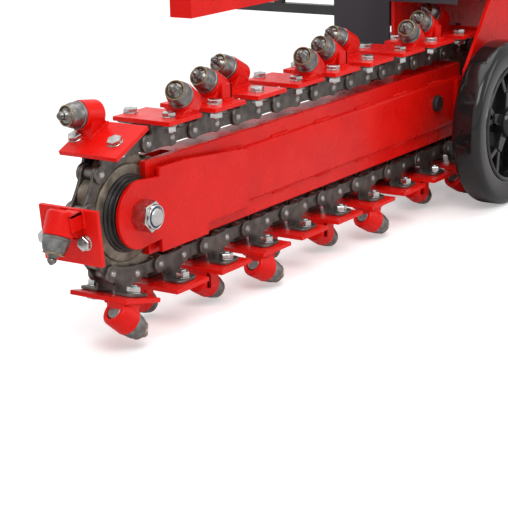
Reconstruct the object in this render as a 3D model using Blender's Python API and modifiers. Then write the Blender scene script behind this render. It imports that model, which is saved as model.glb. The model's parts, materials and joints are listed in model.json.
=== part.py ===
"""Walk-behind chain trencher: digging boom, chain, cutters, chassis, wheels, engine and handle.

The model is laid out about the drive shaft: X points from the boom's nose to the handle, Y to the
far side, Z up.  At the end every piece is carried by one empty, which puts the origin at the
centre of the footprint, on the ground.
"""
import math

import bmesh
import bpy
from mathutils import Matrix, Vector

# ---- driving dimensions, metres -------------------------------------------------------------
GAP = 0.0003                 # clearance between touching pieces
GROUND_CLEARANCE = 0.005    # cutter tips above the ground with the boom level
JOIN = 0.001                 # how far shapes that are joined run into each other
THROUGH = 0.2                # half-length of a drill that passes through the whole machine

# digging chain: double-pitch roller chain with bent attachment tabs on its outer links
PITCH = 0.0508
ROLLER_R = 0.0079
PIN_R = 0.0042
LINK_T = 0.004               # thickness of a link plate
LINK_H = 0.024               # height of a link plate
INNER_HALF = 0.0079          # inside half-width between the inner plates
TAB_TOP = 0.0264             # tab's outer face above the chain line
TAB_T = 0.004
TAB_LENGTH = 0.038
TAB_REACH = 0.044            # tab's outer end from the centre plane
SPROCKET_TEETH = 10
SPAN_PITCHES = 19            # distance between the sprockets, in pitches
CHAIN_PHASE = 0.15           # how far the first pin is past the drive sprocket's top, in pitches

# cutters
PLATE_LENGTH = 0.072
PLATE_BACK = 0.006           # plate's middle behind its bolts
PLATE_SIDE = 0.008           # plate's middle from the chain's, to the near side
PLATE_WIDTH = 0.092
PLATE_T = 0.006
BOLT_HALF_SPACING = 0.0318
BOLT_HEAD_AF = 0.017
BOLT_HEAD_H = 0.0065
NUT_H = 0.008
HOLDER_R = 0.019
HOLDER_LENGTH = 0.031
HOLDER_LEAN = math.radians(60)       # lean from the plate's normal towards the travel direction
HOLDER_SPLAY = {"near": math.radians(12), "far": math.radians(-8), "middle": 0.0}
HOLDER_SIDE = {"near": 0.034, "far": -0.023, "middle": 0.010}
HOLDER_BACK = 0.041          # rear face of the holder behind the bolts
HOLDER_RISE = 0.0105         # its centre above the plate
TOOTH_R = 0.0172
TOOTH_BODY = 0.022
TOOTH_TIP = 0.014
TOOTH_SIDES = 8
POINT_R = 0.004              # blunt end of the tooth
TOOTH_SINK = 0.003           # how far the tooth's parts run into each other
FOOT_HALF = 0.012            # half-width of the holder's foot

# boom beam
BEAM_HALF_H = 0.040
BEAM_HALF_W = 0.026
BEAM_WALL = 0.004
RAIL_TOP = 0.062             # rail's running face from the boom's centre line
RAIL_HALF_W = 0.020
BEAM_START = 0.045           # beam's front end behind the nose axle
RAIL_START = 0.029
CHEEK_T = 0.006
NOSE_R = 0.045
NOSE_PLATE_LENGTH = 0.245
NOSE_STEP = 0.0425           # where the rounded end widens into the plate
NOSE_UP = 0.053
NOSE_DOWN = 0.060
AXLE_R = 0.012
NUT24_AF = 0.036
NUT24_H = 0.022

# chassis
TYRE_R = 0.1375
RIM_R = 0.098
TYRE_W = 0.052
AXLE_BACK = -0.075           # wheel axle from the drive shaft, along X
WHEEL_FACE = 0.080           # near wheel's inner face from the centre plane
CASE_W = 0.030               # drive case, between the far side plate and the far wheel
STUB_R = 0.010
SHAFT_R = 0.015
SIDE_IN = 0.064              # inner face of a side plate
SIDE_T = 0.006
SIDE_FRONT = -0.135
SIDE_REAR = 0.475
SIDE_LOW = 0.058             # side plate's lower edge under the drive shaft
SIDE_STEP = 0.10             # where that edge starts to rise towards the rear
TAIL_Z = 0.235               # lower edge at the rear
BOSS_R = 0.030
BOSS_H = 0.009
HOOD_FRONT = -0.135
NEAR_SHOULDER = 0.060        # near plate's front edge slopes back above this height
NEAR_SLOPE = 0.105           # how far back that edge ends
HOOD_REAR = 0.172
HOOD_UNDER = 0.186           # hood's underside above the drive shaft
SHEET_T = 0.004
QUADRANT_R = 0.080
QUADRANT_T = 0.005
SLOT_R = 0.060
CLAMP_R = 0.006
BOOM_DOWN = math.radians(40)
BOOM_UP = math.radians(4)
FLAP_REACH = 0.180           # flap's far edge from the centre plane
FLAP_NEAR = 0.054            # its near edge from the centre plane
FLAP_T = 0.004
FLAP_LOW = 0.170             # flap's lower edge above the drive shaft
FLAP_RISE = 0.075            # its upper edge above the hood's underside
RACK = 0.016                 # square bar of the flap's frame
RACK_UP = 0.147              # lower bar above the drive shaft
RACK_RISE = 0.070            # from the lower bar to the upper one
RACK_OUT = 0.42
RACK_STRUTS = (0.30, 0.412)
GUARD_FOOT = 0.028           # half-width of the guard bar's foot
GUARD_END = 0.060
GUARD_LOW = 0.231            # guard bar's underside above the drive shaft
GUARD_W = 0.035
GUARD_H = 0.045
GUARD_WALL = 0.0035
GUARD_FRONT = 0.144          # guard bar's front end behind the nose axle
DECK_T = 0.006
DECK_FRONT = 0.176
DECK_NEAR = -0.160
TUBE = 0.040                 # rear cross tube
TUBE_HALF = 0.215
BAR_R = 0.014                # handlebar tube
GRIP_R = 0.018
THROTTLE_R = 0.009
HANDLE_X = 1.02
HANDLE_Z = 0.93
HANDLE_HALF = 0.26
HANDLE_RISE = 0.08           # height of the handle's upright foot
SLEEVE = (0.09, 0.20)        # a grip sleeve's ends from the centre plane
LEVER_BACK = 0.11            # lever's pivot in front of the handlebar
LEVER_DROP = 0.035
LEVER_R = 0.006
STAND_FOOT = 0.55            # place of the stand's foot along X
STAND_DROP = 0.012           # stand's pivot under the rear tube
EAR_T = 0.005
EAR_H = 0.026
STAND_HALF = 0.12
STAND_R = 0.010
ENGINE_MID_X = 0.325
ENGINE_MID_Y = -0.045
CRANK_UP = 0.108             # crankshaft above the deck
TANK_H = 0.095
ENGINE_FRONT = 0.090
ENGINE_BACK = 0.100
ENGINE_HALF = 0.075
ENGINE_H = 0.200
CRANK_R = 0.0127
TANK_UP = 0.215              # tank's underside above the engine's foot
COVER_R = 0.100
COVER_DEPTH = 0.055
CASE_GAP = 0.010             # drive case from the far side plate

# ---- values worked out from them ---------------------------------------------------------------
SPROCKET_R = PITCH / (2 * math.sin(math.pi / SPROCKET_TEETH))
BOOM_LENGTH = SPAN_PITCHES * PITCH
LOOP = 2 * SPAN_PITCHES + SPROCKET_TEETH
PLATE_TOP = TAB_TOP + GAP + PLATE_T
TOOTH_REACH = (PLATE_TOP + HOLDER_RISE
               + (HOLDER_LENGTH + TOOTH_BODY + TOOTH_TIP) * math.cos(HOLDER_LEAN)
               + 0.006 * math.sin(HOLDER_LEAN))
AXIS_Z = SPROCKET_R + TOOTH_REACH + GROUND_CLEARANCE
DECK_TOP = AXIS_Z + 0.145
SIDE_TOP = DECK_TOP - DECK_T - GAP
CASE_IN = SIDE_IN + SIDE_T + GAP
FAR_FACE = CASE_IN + CASE_W + 0.003
OUT = SIDE_IN + SIDE_T

RED = ("red paint", (0.72, 0.012, 0.008), 0.3, 0.0)
STEEL = ("chain steel", (0.075, 0.068, 0.062), 0.45, 0.9)
ZINC = ("zinc plate", (0.62, 0.62, 0.6), 0.3, 1.0)
CAST = ("worn cast steel", (0.12, 0.1, 0.085), 0.55, 0.8)
BLACK = ("black paint", (0.012, 0.012, 0.013), 0.35, 0.0)
RUBBER = ("black rubber", (0.014, 0.014, 0.015), 0.5, 0.0)
CHARCOAL = ("charcoal sheet", (0.045, 0.042, 0.046), 0.6, 0.0)
ALLOY = ("engine alloy", (0.35, 0.35, 0.36), 0.45, 0.9)

for old in list(bpy.data.objects):
    bpy.data.objects.remove(old)
collection = bpy.data.collections.new("trencher")
bpy.context.scene.collection.children.link(collection)


# ---- helpers --------------------------------------------------------------------------------------
def material(finish):
    """The Principled material of a finish, made once."""
    name, colour, roughness, metallic = finish
    found = bpy.data.materials.get(name)
    if found:
        return found
    made = bpy.data.materials.new(name)
    made.use_nodes = True
    shader = made.node_tree.nodes["Principled BSDF"]
    shader.inputs["Base Color"].default_value = (*colour, 1.0)
    shader.inputs["Roughness"].default_value = roughness
    shader.inputs["Metallic"].default_value = metallic
    made.diffuse_color = (*colour, 1.0)
    return made


def add(name, mesh, finish):
    """A mesh as a named object in the model's collection."""
    made = bpy.data.objects.new(name, mesh)
    collection.objects.link(made)
    if not mesh.materials:
        mesh.materials.append(material(finish))
    return made


def mesh_from(bm, name):
    mesh = bpy.data.meshes.new(name)
    bmesh.ops.recalc_face_normals(bm, faces=bm.faces)
    bm.to_mesh(mesh)
    bm.free()
    return mesh


def box(name, xs, ys, zs, finish=RED):
    """A block between two corners."""
    bm = bmesh.new()
    size = [b - a for a, b in (xs, ys, zs)]
    middle = Vector([(a + b) / 2 for a, b in (xs, ys, zs)])
    bmesh.ops.create_cube(bm, size=1.0, matrix=Matrix.Translation(middle)
                          @ Matrix.Diagonal((*size, 1.0)))
    return add(name, mesh_from(bm, name), finish)


def rod(name, radius, start, end, sides=12, finish=RED, end_radius=None):
    """A cylinder, cone or prism of equal sides between two points."""
    start, end = Vector(start), Vector(end)
    turn = (end - start).to_track_quat("Z", "Y").to_matrix().to_4x4()
    bm = bmesh.new()
    bmesh.ops.create_cone(bm, cap_ends=True, segments=sides, radius1=radius,
                          radius2=radius if end_radius is None else end_radius,
                          depth=(end - start).length,
                          matrix=Matrix.Translation((start + end) / 2) @ turn)
    return add(name, mesh_from(bm, name), finish)


def drill(radius, x, z=None, sides=16):
    """A cutter for a hole along Y through everything."""
    z = AXIS_Z if z is None else z
    return rod("drill", radius, (x, -THROUGH, z), (x, THROUGH, z), sides)


def flatten(obj):
    """Replace an object by the mesh that its curve or modifiers give."""
    graph = bpy.context.evaluated_depsgraph_get()
    mesh = bpy.data.meshes.new_from_object(obj.evaluated_get(graph))
    bm = bmesh.new()
    bm.from_mesh(mesh)
    bmesh.ops.remove_doubles(bm, verts=bm.verts, dist=0.00003)
    bmesh.ops.dissolve_limit(bm, angle_limit=0.0005, verts=bm.verts, edges=bm.edges)
    bmesh.ops.recalc_face_normals(bm, faces=bm.faces)
    bm.to_mesh(mesh)
    bm.free()
    mesh.transform(obj.matrix_world)
    name, finish = obj.name, obj.data.materials[0] if obj.data.materials else None
    bpy.data.objects.remove(obj)
    made = bpy.data.objects.new(name, mesh)
    collection.objects.link(made)
    if finish and not mesh.materials:
        mesh.materials.append(finish)
    return made


def plate(name, outline, y0, y1, finish=RED):
    """A flat plate: an outline of (x, z) points, standing between two values of Y."""
    curve = bpy.data.curves.new(name, "CURVE")
    curve.dimensions = "2D"
    curve.fill_mode = "BOTH"
    curve.extrude = abs(y1 - y0) / 2
    spline = curve.splines.new("POLY")
    spline.points.add(len(outline) - 1)
    for point, (x, z) in zip(spline.points, outline):
        point.co = (x, z, 0.0, 1.0)
    spline.use_cyclic_u = True
    curve.materials.append(material(finish))
    made = bpy.data.objects.new(name, curve)
    collection.objects.link(made)
    made.rotation_euler = (math.radians(90), 0, 0)
    made.location = (0, (y0 + y1) / 2, 0)
    bpy.context.view_layer.update()
    return flatten(made)


def tube(name, points, radius, finish=BLACK, resolution=2):
    """A bent tube: a poly curve with a round bevel and filled caps."""
    curve = bpy.data.curves.new(name, "CURVE")
    curve.dimensions = "3D"
    curve.bevel_depth = radius
    curve.bevel_resolution = resolution
    curve.use_fill_caps = True
    spline = curve.splines.new("POLY")
    spline.points.add(len(points) - 1)
    for point, place in zip(spline.points, points):
        point.co = (*place, 1.0)
    curve.materials.append(material(finish))
    made = bpy.data.objects.new(name, curve)
    collection.objects.link(made)
    bpy.context.view_layer.update()
    return flatten(made)


def turned(name, profile, centre, sides=24, finish=BLACK):
    """A ring or disc turned about an axis along Y: (radius, y) points round its section."""
    bm = bmesh.new()
    corners = [bm.verts.new((r, y, 0.0)) for r, y in profile]
    edges = [bm.edges.new((a, b)) for a, b in zip(corners, corners[1:] + corners[:1])]
    bmesh.ops.spin(bm, geom=corners + edges, cent=(0, 0, 0), axis=(0, 1, 0),
                   angle=2 * math.pi, steps=sides, use_merge=True)
    bmesh.ops.remove_doubles(bm, verts=bm.verts, dist=0.00003)
    mesh = mesh_from(bm, name)
    mesh.transform(Matrix.Translation(Vector((centre[0], 0.0, centre[1]))))
    return add(name, mesh, finish)


def combine(base, others, operation="UNION", self_cross=False):
    """Join or cut a piece with others, which are used up."""
    for other in others:
        step = base.modifiers.new("step", "BOOLEAN")
        step.operation = operation
        step.solver = "EXACT"
        step.use_self = self_cross
        step.object = other
    bpy.context.view_layer.update()
    made = flatten(base)
    for other in others:
        bpy.data.objects.remove(other)
    return made


def arc(centre, radius, start, end, steps):
    """Points of an arc, angles in degrees."""
    angles = [math.radians(start + (end - start) * i / steps) for i in range(steps + 1)]
    return [(centre[0] + radius * math.cos(a), centre[1] + radius * math.sin(a)) for a in angles]


# ---- chain and cutters ------------------------------------------------------------------------------
def chain_point(k):
    """Place of the chain line k pitches from the drive sprocket's top, in (x, z)."""
    k %= LOOP
    half = SPROCKET_TEETH / 2
    if k <= SPAN_PITCHES:
        return Vector((-k * PITCH, SPROCKET_R))
    if k <= SPAN_PITCHES + half:
        angle = math.pi * (0.5 + (k - SPAN_PITCHES) / half)
        return Vector((-BOOM_LENGTH + SPROCKET_R * math.cos(angle), SPROCKET_R * math.sin(angle)))
    if k <= 2 * SPAN_PITCHES + half:
        return Vector((-BOOM_LENGTH + (k - SPAN_PITCHES - half) * PITCH, -SPROCKET_R))
    angle = math.pi * (-0.5 + (k - 2 * SPAN_PITCHES - half) / half)
    return Vector((SPROCKET_R * math.cos(angle), SPROCKET_R * math.sin(angle)))


def link_frame(n):
    """Frame of the link after pin n: x along the travel, y to the near side, z outwards."""
    rear, front = chain_point(n + CHAIN_PHASE), chain_point(n + 1 + CHAIN_PHASE)
    along = (front - rear).normalized()
    middle = (front + rear) / 2
    return Matrix(((along.x, 0, along.y, middle.x),
                   (0, -1, 0, 0),
                   (along.y, 0, -along.x, AXIS_Z + middle.y),
                   (0, 0, 0, 1)))


def chain_plates():
    """The side plates of all links, which don't touch each other."""
    bm = bmesh.new()
    for n in range(LOOP):
        outer = n % 2 == 1
        low = INNER_HALF + (LINK_T + GAP if outer else 0.0)
        for side in (1, -1):
            middle = Matrix.Translation((0, side * (low + LINK_T / 2), 0))
            size = (PITCH + LINK_H * 0.86, LINK_T, LINK_H)
            bmesh.ops.create_cube(bm, size=1.0, matrix=link_frame(n) @ middle
                                  @ Matrix.Diagonal((*size, 1.0)))
    return add("digging_chain", mesh_from(bm, "digging_chain"), STEEL)


def chain_joints():
    """Rollers, pins, attachment tabs and the nuts under them."""
    bm = bmesh.new()
    across = Matrix.Rotation(math.pi / 2, 4, "X")
    inner_mid = INNER_HALF + LINK_T / 2
    outer_mid = inner_mid + LINK_T + GAP

    def bar(frame, radius, y0, y1, sides):
        bmesh.ops.create_cone(bm, cap_ends=True, segments=sides, radius1=radius, radius2=radius,
                              depth=abs(y1 - y0),
                              matrix=frame @ Matrix.Translation((0, (y0 + y1) / 2, 0)) @ across)

    for n in range(LOOP):
        pin = link_frame(n) @ Matrix.Translation((-PITCH / 2, 0, 0))
        bar(pin, ROLLER_R, -inner_mid + 0.0004, inner_mid - 0.0004, 6)
        for side in (1, -1):
            bar(pin, PIN_R, side * (inner_mid + 0.0004), side * outer_mid, 4)
        if n % 2 == 0:
            continue
        frame = link_frame(n)
        for side in (1, -1):
            low = outer_mid
            size = (TAB_LENGTH, TAB_REACH - low, TAB_T)
            place = Matrix.Translation((0, side * (TAB_REACH + low) / 2, TAB_TOP - TAB_T / 2))
            bmesh.ops.create_cube(bm, size=1.0, matrix=frame @ place @ Matrix.Diagonal((*size, 1)))
            web = (TAB_LENGTH, LINK_T * 0.6, TAB_TOP - TAB_T * 0.5)
            place = Matrix.Translation((0, side * (outer_mid + LINK_T * 0.2), web[2] / 2))
            bmesh.ops.create_cube(bm, size=1.0, matrix=frame @ place @ Matrix.Diagonal((*web, 1)))
            nut_z = TAB_TOP - TAB_T - (NUT_H - JOIN) / 2
            nut = Matrix.Translation((0, side * BOLT_HALF_SPACING, nut_z))
            bmesh.ops.create_cone(bm, cap_ends=True, segments=6, radius1=BOLT_HEAD_AF / math.sqrt(3),
                                  radius2=BOLT_HEAD_AF / math.sqrt(3), depth=NUT_H + JOIN,
                                  matrix=frame @ nut)
    return add("chain_joints", mesh_from(bm, "chain_joints"), STEEL)


def cutter_mesh(kind):
    """A cutter plate with its bolt heads, tooth holder and bullet tooth, in a link's frame."""
    half_l, half_w = PLATE_LENGTH / 2, PLATE_WIDTH / 2
    base = box("cutter", (-PLATE_BACK - half_l, -PLATE_BACK + half_l),
               (PLATE_SIDE - half_w, PLATE_SIDE + half_w), (TAB_TOP + GAP, PLATE_TOP))
    heads = []
    for y in (BOLT_HALF_SPACING, -BOLT_HALF_SPACING):
        heads.append(rod("head", BOLT_HEAD_AF / math.sqrt(3), (0, y, PLATE_TOP - JOIN),
                         (0, y, PLATE_TOP + BOLT_HEAD_H), 6))
    splay = HOLDER_SPLAY[kind]
    axis = Vector((math.sin(HOLDER_LEAN) * math.cos(splay), math.sin(splay),
                   math.cos(HOLDER_LEAN) * math.cos(splay)))
    rear = Vector((-HOLDER_BACK, HOLDER_SIDE[kind], PLATE_TOP + HOLDER_RISE))
    mouth = rear + axis * HOLDER_LENGTH
    ring = mouth + axis * TOOTH_BODY
    tip = ring + axis * TOOTH_TIP
    pieces = [rod("holder", HOLDER_R, rear, mouth, 10),
              rod("body", TOOTH_R, mouth - axis * TOOTH_SINK, ring, TOOTH_SIDES,
                  end_radius=TOOTH_R * 0.9),
              rod("tip", TOOTH_R * 0.6, ring - axis * TOOTH_SINK, tip, TOOTH_SIDES,
                  end_radius=POINT_R)]
    foot = box("foot", (-HOLDER_BACK + 0.004, -HOLDER_BACK + 0.032),
               (HOLDER_SIDE[kind] - FOOT_HALF, HOLDER_SIDE[kind] + FOOT_HALF),
               (PLATE_TOP - JOIN, PLATE_TOP + HOLDER_RISE + 0.004))
    under = box("under", (-half_l * 2, half_l * 2), (-half_w * 2, half_w * 2),
                (-0.05, TAB_TOP + GAP))
    whole = combine(base, [*heads, foot, *pieces])
    whole = combine(whole, [under], "DIFFERENCE")
    mesh = whole.data
    mesh.name = "cutter_" + kind
    bpy.data.objects.remove(whole)
    return mesh


def make_chain():
    chain = combine(chain_plates(), [chain_joints()], self_cross=True)
    meshes = {kind: cutter_mesh(kind) for kind in HOLDER_SIDE}
    order = ("near", "far", "middle")
    cutters = []
    for i in range(LOOP // 2):
        n = 2 * i + 1
        piece = add("cutter_%02d" % (i + 1), meshes[order[(i + 1) % 3]], RED)
        piece.matrix_world = link_frame(n)
        cutters.append(piece)
    return [chain, *cutters]


def sprocket(name, centre_x, first_angle, hub_half, bore):
    """A ten-tooth sprocket: a seat for each roller and a tooth between two seats."""
    step = 360 / SPROCKET_TEETH
    seat = ROLLER_R + 0.0008
    outline = []
    for i in range(SPROCKET_TEETH):
        angle = first_angle + i * step
        centre = (centre_x + SPROCKET_R * math.cos(math.radians(angle)),
                  AXIS_Z + SPROCKET_R * math.sin(math.radians(angle)))
        outline += arc(centre, seat, angle - 95, angle - 265, 4)
        tooth = math.radians(angle + step / 2)
        for spread in (-0.09, 0.09):
            outline.append((centre_x + (SPROCKET_R + 0.003) * math.cos(tooth + spread),
                            AXIS_Z + (SPROCKET_R + 0.003) * math.sin(tooth + spread)))
    half = INNER_HALF - 0.0006
    wheel = plate(name, outline, -half, half, CAST)
    hub = rod("hub", 0.034, (centre_x, -hub_half, AXIS_Z), (centre_x, hub_half, AXIS_Z), 16)
    return combine(combine(wheel, [hub]), [drill(bore, centre_x)], "DIFFERENCE")


# ---- boom ------------------------------------------------------------------------------------------
def make_beam():
    """The boom: a square tube with chain rails, slotted at both ends, and the pivot cheeks."""
    start, end = -BOOM_LENGTH + BEAM_START, -0.060
    low, high = AXIS_Z - RAIL_TOP, AXIS_Z + RAIL_TOP
    beam = box("boom_beam", (start, end), (-BEAM_HALF_W, BEAM_HALF_W),
               (AXIS_Z - BEAM_HALF_H, AXIS_Z + BEAM_HALF_H))
    spans = ((low, AXIS_Z - BEAM_HALF_H + JOIN), (AXIS_Z + BEAM_HALF_H - JOIN, high))
    rails = [box("rail", (-BOOM_LENGTH + RAIL_START, end), (-RAIL_HALF_W, RAIL_HALF_W), span)
             for span in spans]
    cheeks = []
    for side in (-1, 1):
        outline = [*arc((0, AXIS_Z), NOSE_R, -80, 80, 8),
                   (-0.16, AXIS_Z + BEAM_HALF_H - 0.004), (-0.16, AXIS_Z - BEAM_HALF_H + 0.004)]
        cheeks.append(plate("cheek", outline, side * (BEAM_HALF_W - JOIN),
                            side * (BEAM_HALF_W + CHEEK_T)))
    beam = combine(beam, rails + cheeks)
    inner_w, inner_h = BEAM_HALF_W - BEAM_WALL, BEAM_HALF_H - BEAM_WALL
    hollow = box("hollow", (start - 0.1, end + 0.02), (-inner_w, inner_w),
                 (AXIS_Z - inner_h, AXIS_Z + inner_h))
    slot = INNER_HALF + 0.0006
    clear = SPROCKET_R + 0.008
    slots = [box("slot", span, (-slot, slot), (0, 2 * AXIS_Z))
             for span in ((-BOOM_LENGTH - clear, -BOOM_LENGTH + clear), (-clear, clear))]
    return combine(beam, [hollow, *slots, drill(SHAFT_R + GAP, 0.0)], "DIFFERENCE")


def make_nose():
    """The plates, axle bolt, nut and sprocket at the boom's front end."""
    pieces = []
    x = -BOOM_LENGTH
    for name, side in (("nose_plate_near", -1), ("nose_plate_far", 1)):
        low_end = x + 0.6 * NOSE_PLATE_LENGTH
        outline = [(x + NOSE_STEP, AXIS_Z - NOSE_R + 0.003), (x + NOSE_STEP, AXIS_Z - NOSE_DOWN),
                   (low_end, AXIS_Z - NOSE_DOWN), (low_end, AXIS_Z - BEAM_HALF_H - 0.004),
                   (x + NOSE_PLATE_LENGTH, AXIS_Z - BEAM_HALF_H - 0.004),
                   (x + NOSE_PLATE_LENGTH, AXIS_Z + BEAM_HALF_H),
                   (x + 0.4 * NOSE_PLATE_LENGTH, AXIS_Z + NOSE_UP),
                   (x + NOSE_STEP, AXIS_Z + NOSE_UP), (x + NOSE_STEP, AXIS_Z + NOSE_R - 0.004),
                   *arc((x, AXIS_Z), NOSE_R, 80, 280, 12)]
        face = side * (BEAM_HALF_W + GAP)
        piece = plate(name, outline, face, face + side * CHEEK_T)
        pieces.append(combine(piece, [drill(AXLE_R + GAP, x)], "DIFFERENCE"))
    outer = BEAM_HALF_W + 2 * GAP + CHEEK_T
    bolt = rod("nose_bolt", AXLE_R, (x, outer + JOIN, AXIS_Z),
               (x, -outer - NUT24_H - 0.004, AXIS_Z), 16, ZINC)
    head = rod("head", NUT24_AF / math.sqrt(3), (x, outer, AXIS_Z), (x, outer + 0.015, AXIS_Z), 6)
    bolt = combine(bolt, [head])
    nut = rod("nose_nut", NUT24_AF / math.sqrt(3), (x, -outer, AXIS_Z),
              (x, -outer - NUT24_H, AXIS_Z), 6, ZINC)
    nut = combine(nut, [drill(AXLE_R + GAP, x)], "DIFFERENCE")
    angle = 90 + 360 / SPROCKET_TEETH * CHAIN_PHASE
    wheel = sprocket("nose_sprocket", x, angle, BEAM_HALF_W - BEAM_WALL - 0.001, AXLE_R + GAP)
    return [*pieces, bolt, nut, wheel]


def make_drive_end():
    """The drive sprocket and the depth quadrant, both carried by the boom's pivot."""
    angle = -90 + 360 / SPROCKET_TEETH * CHAIN_PHASE
    wheel = sprocket("drive_sprocket", 0.0, angle, BEAM_HALF_W - BEAM_WALL - 0.001, SHAFT_R + GAP)
    inner = -(BEAM_HALF_W + CHEEK_T + GAP)
    outer = -(SIDE_IN - GAP)
    hub = rod("depth_quadrant", BOSS_R, (0, inner, AXIS_Z), (0, outer, AXIS_Z), 20, RED)
    sweep = math.degrees(BOOM_DOWN + BOOM_UP) + 24
    first = -math.degrees(BOOM_DOWN) - 12
    lobe = [(0.0, AXIS_Z), *arc((0, AXIS_Z), QUADRANT_R, first - 6, first + sweep + 6, 12)]
    fan = plate("fan", lobe, outer + QUADRANT_T, outer)
    margin = math.degrees(CLAMP_R / SLOT_R) + 1.0
    low, high = -math.degrees(BOOM_DOWN) - margin, math.degrees(BOOM_UP) + margin
    window = [*arc((0, AXIS_Z), SLOT_R + CLAMP_R + 0.001, low, high, 10),
              *arc((0, AXIS_Z), SLOT_R - CLAMP_R - 0.001, high, low, 10)]
    slot = plate("slot", window, -0.1, 0.0)
    quadrant = combine(combine(hub, [fan]), [slot, drill(SHAFT_R + GAP, 0.0)], "DIFFERENCE")
    return [wheel, quadrant]


# ---- chassis ------------------------------------------------------------------------------------------
def side_plate(name, side):
    """A chassis side plate with a bearing boss for the drive shaft and holes for what it carries."""
    low = AXIS_Z - SIDE_LOW
    outline = [(SIDE_FRONT, low), (SIDE_STEP, low), (SIDE_REAR - 0.10, TAIL_Z), (SIDE_REAR, TAIL_Z),
               (SIDE_REAR, SIDE_TOP), (HOOD_REAR, SIDE_TOP), (HOOD_REAR, AXIS_Z + HOOD_UNDER - GAP)]
    if side < 0:
        outline += [(SIDE_FRONT + NEAR_SLOPE, AXIS_Z + HOOD_UNDER - GAP),
                    (SIDE_FRONT, AXIS_Z + NEAR_SHOULDER)]
    else:
        outline.append((SIDE_FRONT, AXIS_Z + HOOD_UNDER - GAP))
    inner, outer = side * SIDE_IN, side * OUT
    piece = plate(name, outline, inner, outer)
    boss = rod("boss", BOSS_R, (0, outer - side * JOIN, AXIS_Z),
               (0, outer + side * BOSS_H, AXIS_Z), 20)
    piece = combine(piece, [boss])
    holes = [drill(SHAFT_R + GAP, 0.0), drill(STUB_R + GAP, AXLE_BACK, TYRE_R)]
    if side < 0:
        holes.append(drill(CLAMP_R + 0.0005, SLOT_R, sides=10))
    for hole in holes:
        piece = combine(piece, [hole], "DIFFERENCE")
    return piece


def make_frame():
    """Side plates, hood, flap and its frame, guard bar, deck and rear tube."""
    near = side_plate("side_plate_near", -1)
    far = side_plate("side_plate_far", 1)
    top = AXIS_Z + HOOD_UNDER
    hood = box("chain_hood", (HOOD_FRONT, HOOD_REAR), (-OUT, OUT), (top, top + SHEET_T))
    drop = box("drop", (HOOD_REAR - SHEET_T, HOOD_REAR), (-SIDE_IN + GAP, SIDE_IN - GAP),
               (SIDE_TOP + DECK_T + 0.004, top + JOIN))
    hood = combine(hood, [drop])
    flap_top = top + FLAP_RISE
    over_tyre = 2 * TYRE_R - 0.010
    half = SIDE_IN + 0.008
    flap = plate("debris_flap", [(-FLAP_NEAR, AXIS_Z + FLAP_LOW), (half, AXIS_Z + FLAP_LOW),
                                 (half, over_tyre), (FLAP_REACH, over_tyre + 0.002),
                                 (FLAP_REACH, flap_top), (-FLAP_NEAR, flap_top)],
                 -FLAP_T / 2, FLAP_T / 2, CHARCOAL)
    flap.data.transform(Matrix.Translation((SIDE_FRONT - FLAP_T / 2 - GAP, 0, 0))
                        @ Matrix.Rotation(math.pi / 2, 4, "Z"))
    low = AXIS_Z + GUARD_LOW
    guard = box("guard_bar", (-BOOM_LENGTH + GUARD_FRONT, GUARD_END), (-GUARD_W / 2, GUARD_W / 2),
                (low, low + GUARD_H))
    foot = box("foot", (-GUARD_END, GUARD_END), (-GUARD_FOOT, GUARD_FOOT),
               (top + SHEET_T + GAP, low + JOIN))
    bore = box("bore", (-BOOM_LENGTH + GUARD_FRONT + GUARD_WALL, 0.1),
               (-GUARD_W / 2 + GUARD_WALL, GUARD_W / 2 - GUARD_WALL),
               (low + GUARD_WALL, low + GUARD_H - GUARD_WALL))
    guard = combine(combine(guard, [foot]), [bore], "DIFFERENCE")
    slit = box("slit", (SIDE_FRONT - 0.02, SIDE_FRONT + 0.01),
               (-GUARD_W / 2 - 0.001, GUARD_W / 2 + 0.001), (low - 0.001, low + GUARD_H + 0.1))
    flap = combine(flap, [slit], "DIFFERENCE")
    deck = box("engine_deck", (DECK_FRONT, SIDE_REAR + TUBE + 0.01), (DECK_NEAR, OUT),
               (DECK_TOP - DECK_T, DECK_TOP), BLACK)
    tube_x = SIDE_REAR + GAP
    tube_top = DECK_TOP - DECK_T - GAP
    tube_low = tube_top - TUBE
    cross = box("rear_tube", (tube_x, tube_x + TUBE), (-TUBE_HALF, TUBE_HALF), (tube_low, tube_top))
    ear_y = STAND_HALF + STAND_R + 2 * GAP
    ears = [box("ear", (tube_x + 0.006, tube_x + TUBE - 0.006),
                sorted((side * ear_y, side * (ear_y + EAR_T))), (tube_low - EAR_H, tube_low + JOIN))
            for side in (-1, 1)]
    cross = combine(cross, ears)
    bar_z = AXIS_Z + RACK_UP
    back = SIDE_FRONT + 0.002
    upper_z = bar_z + RACK_RISE
    bars = [box("bar", (back, back + RACK), (OUT + GAP, RACK_OUT), (z - RACK / 2, z + RACK / 2))
            for z in (bar_z, upper_z)]
    struts = [box("strut", (back + 0.002, back + RACK - 0.002), (y - RACK / 2, y + RACK / 2),
                  (bar_z, upper_z)) for y in RACK_STRUTS]
    rack = box("flap_frame", (back, back + RACK), (OUT + GAP, OUT + RACK),
               (bar_z - 0.020, upper_z + RACK / 2), BLACK)
    rack = combine(rack, bars + struts)
    return [near, far, hood, flap, guard, deck, cross, rack]


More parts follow.
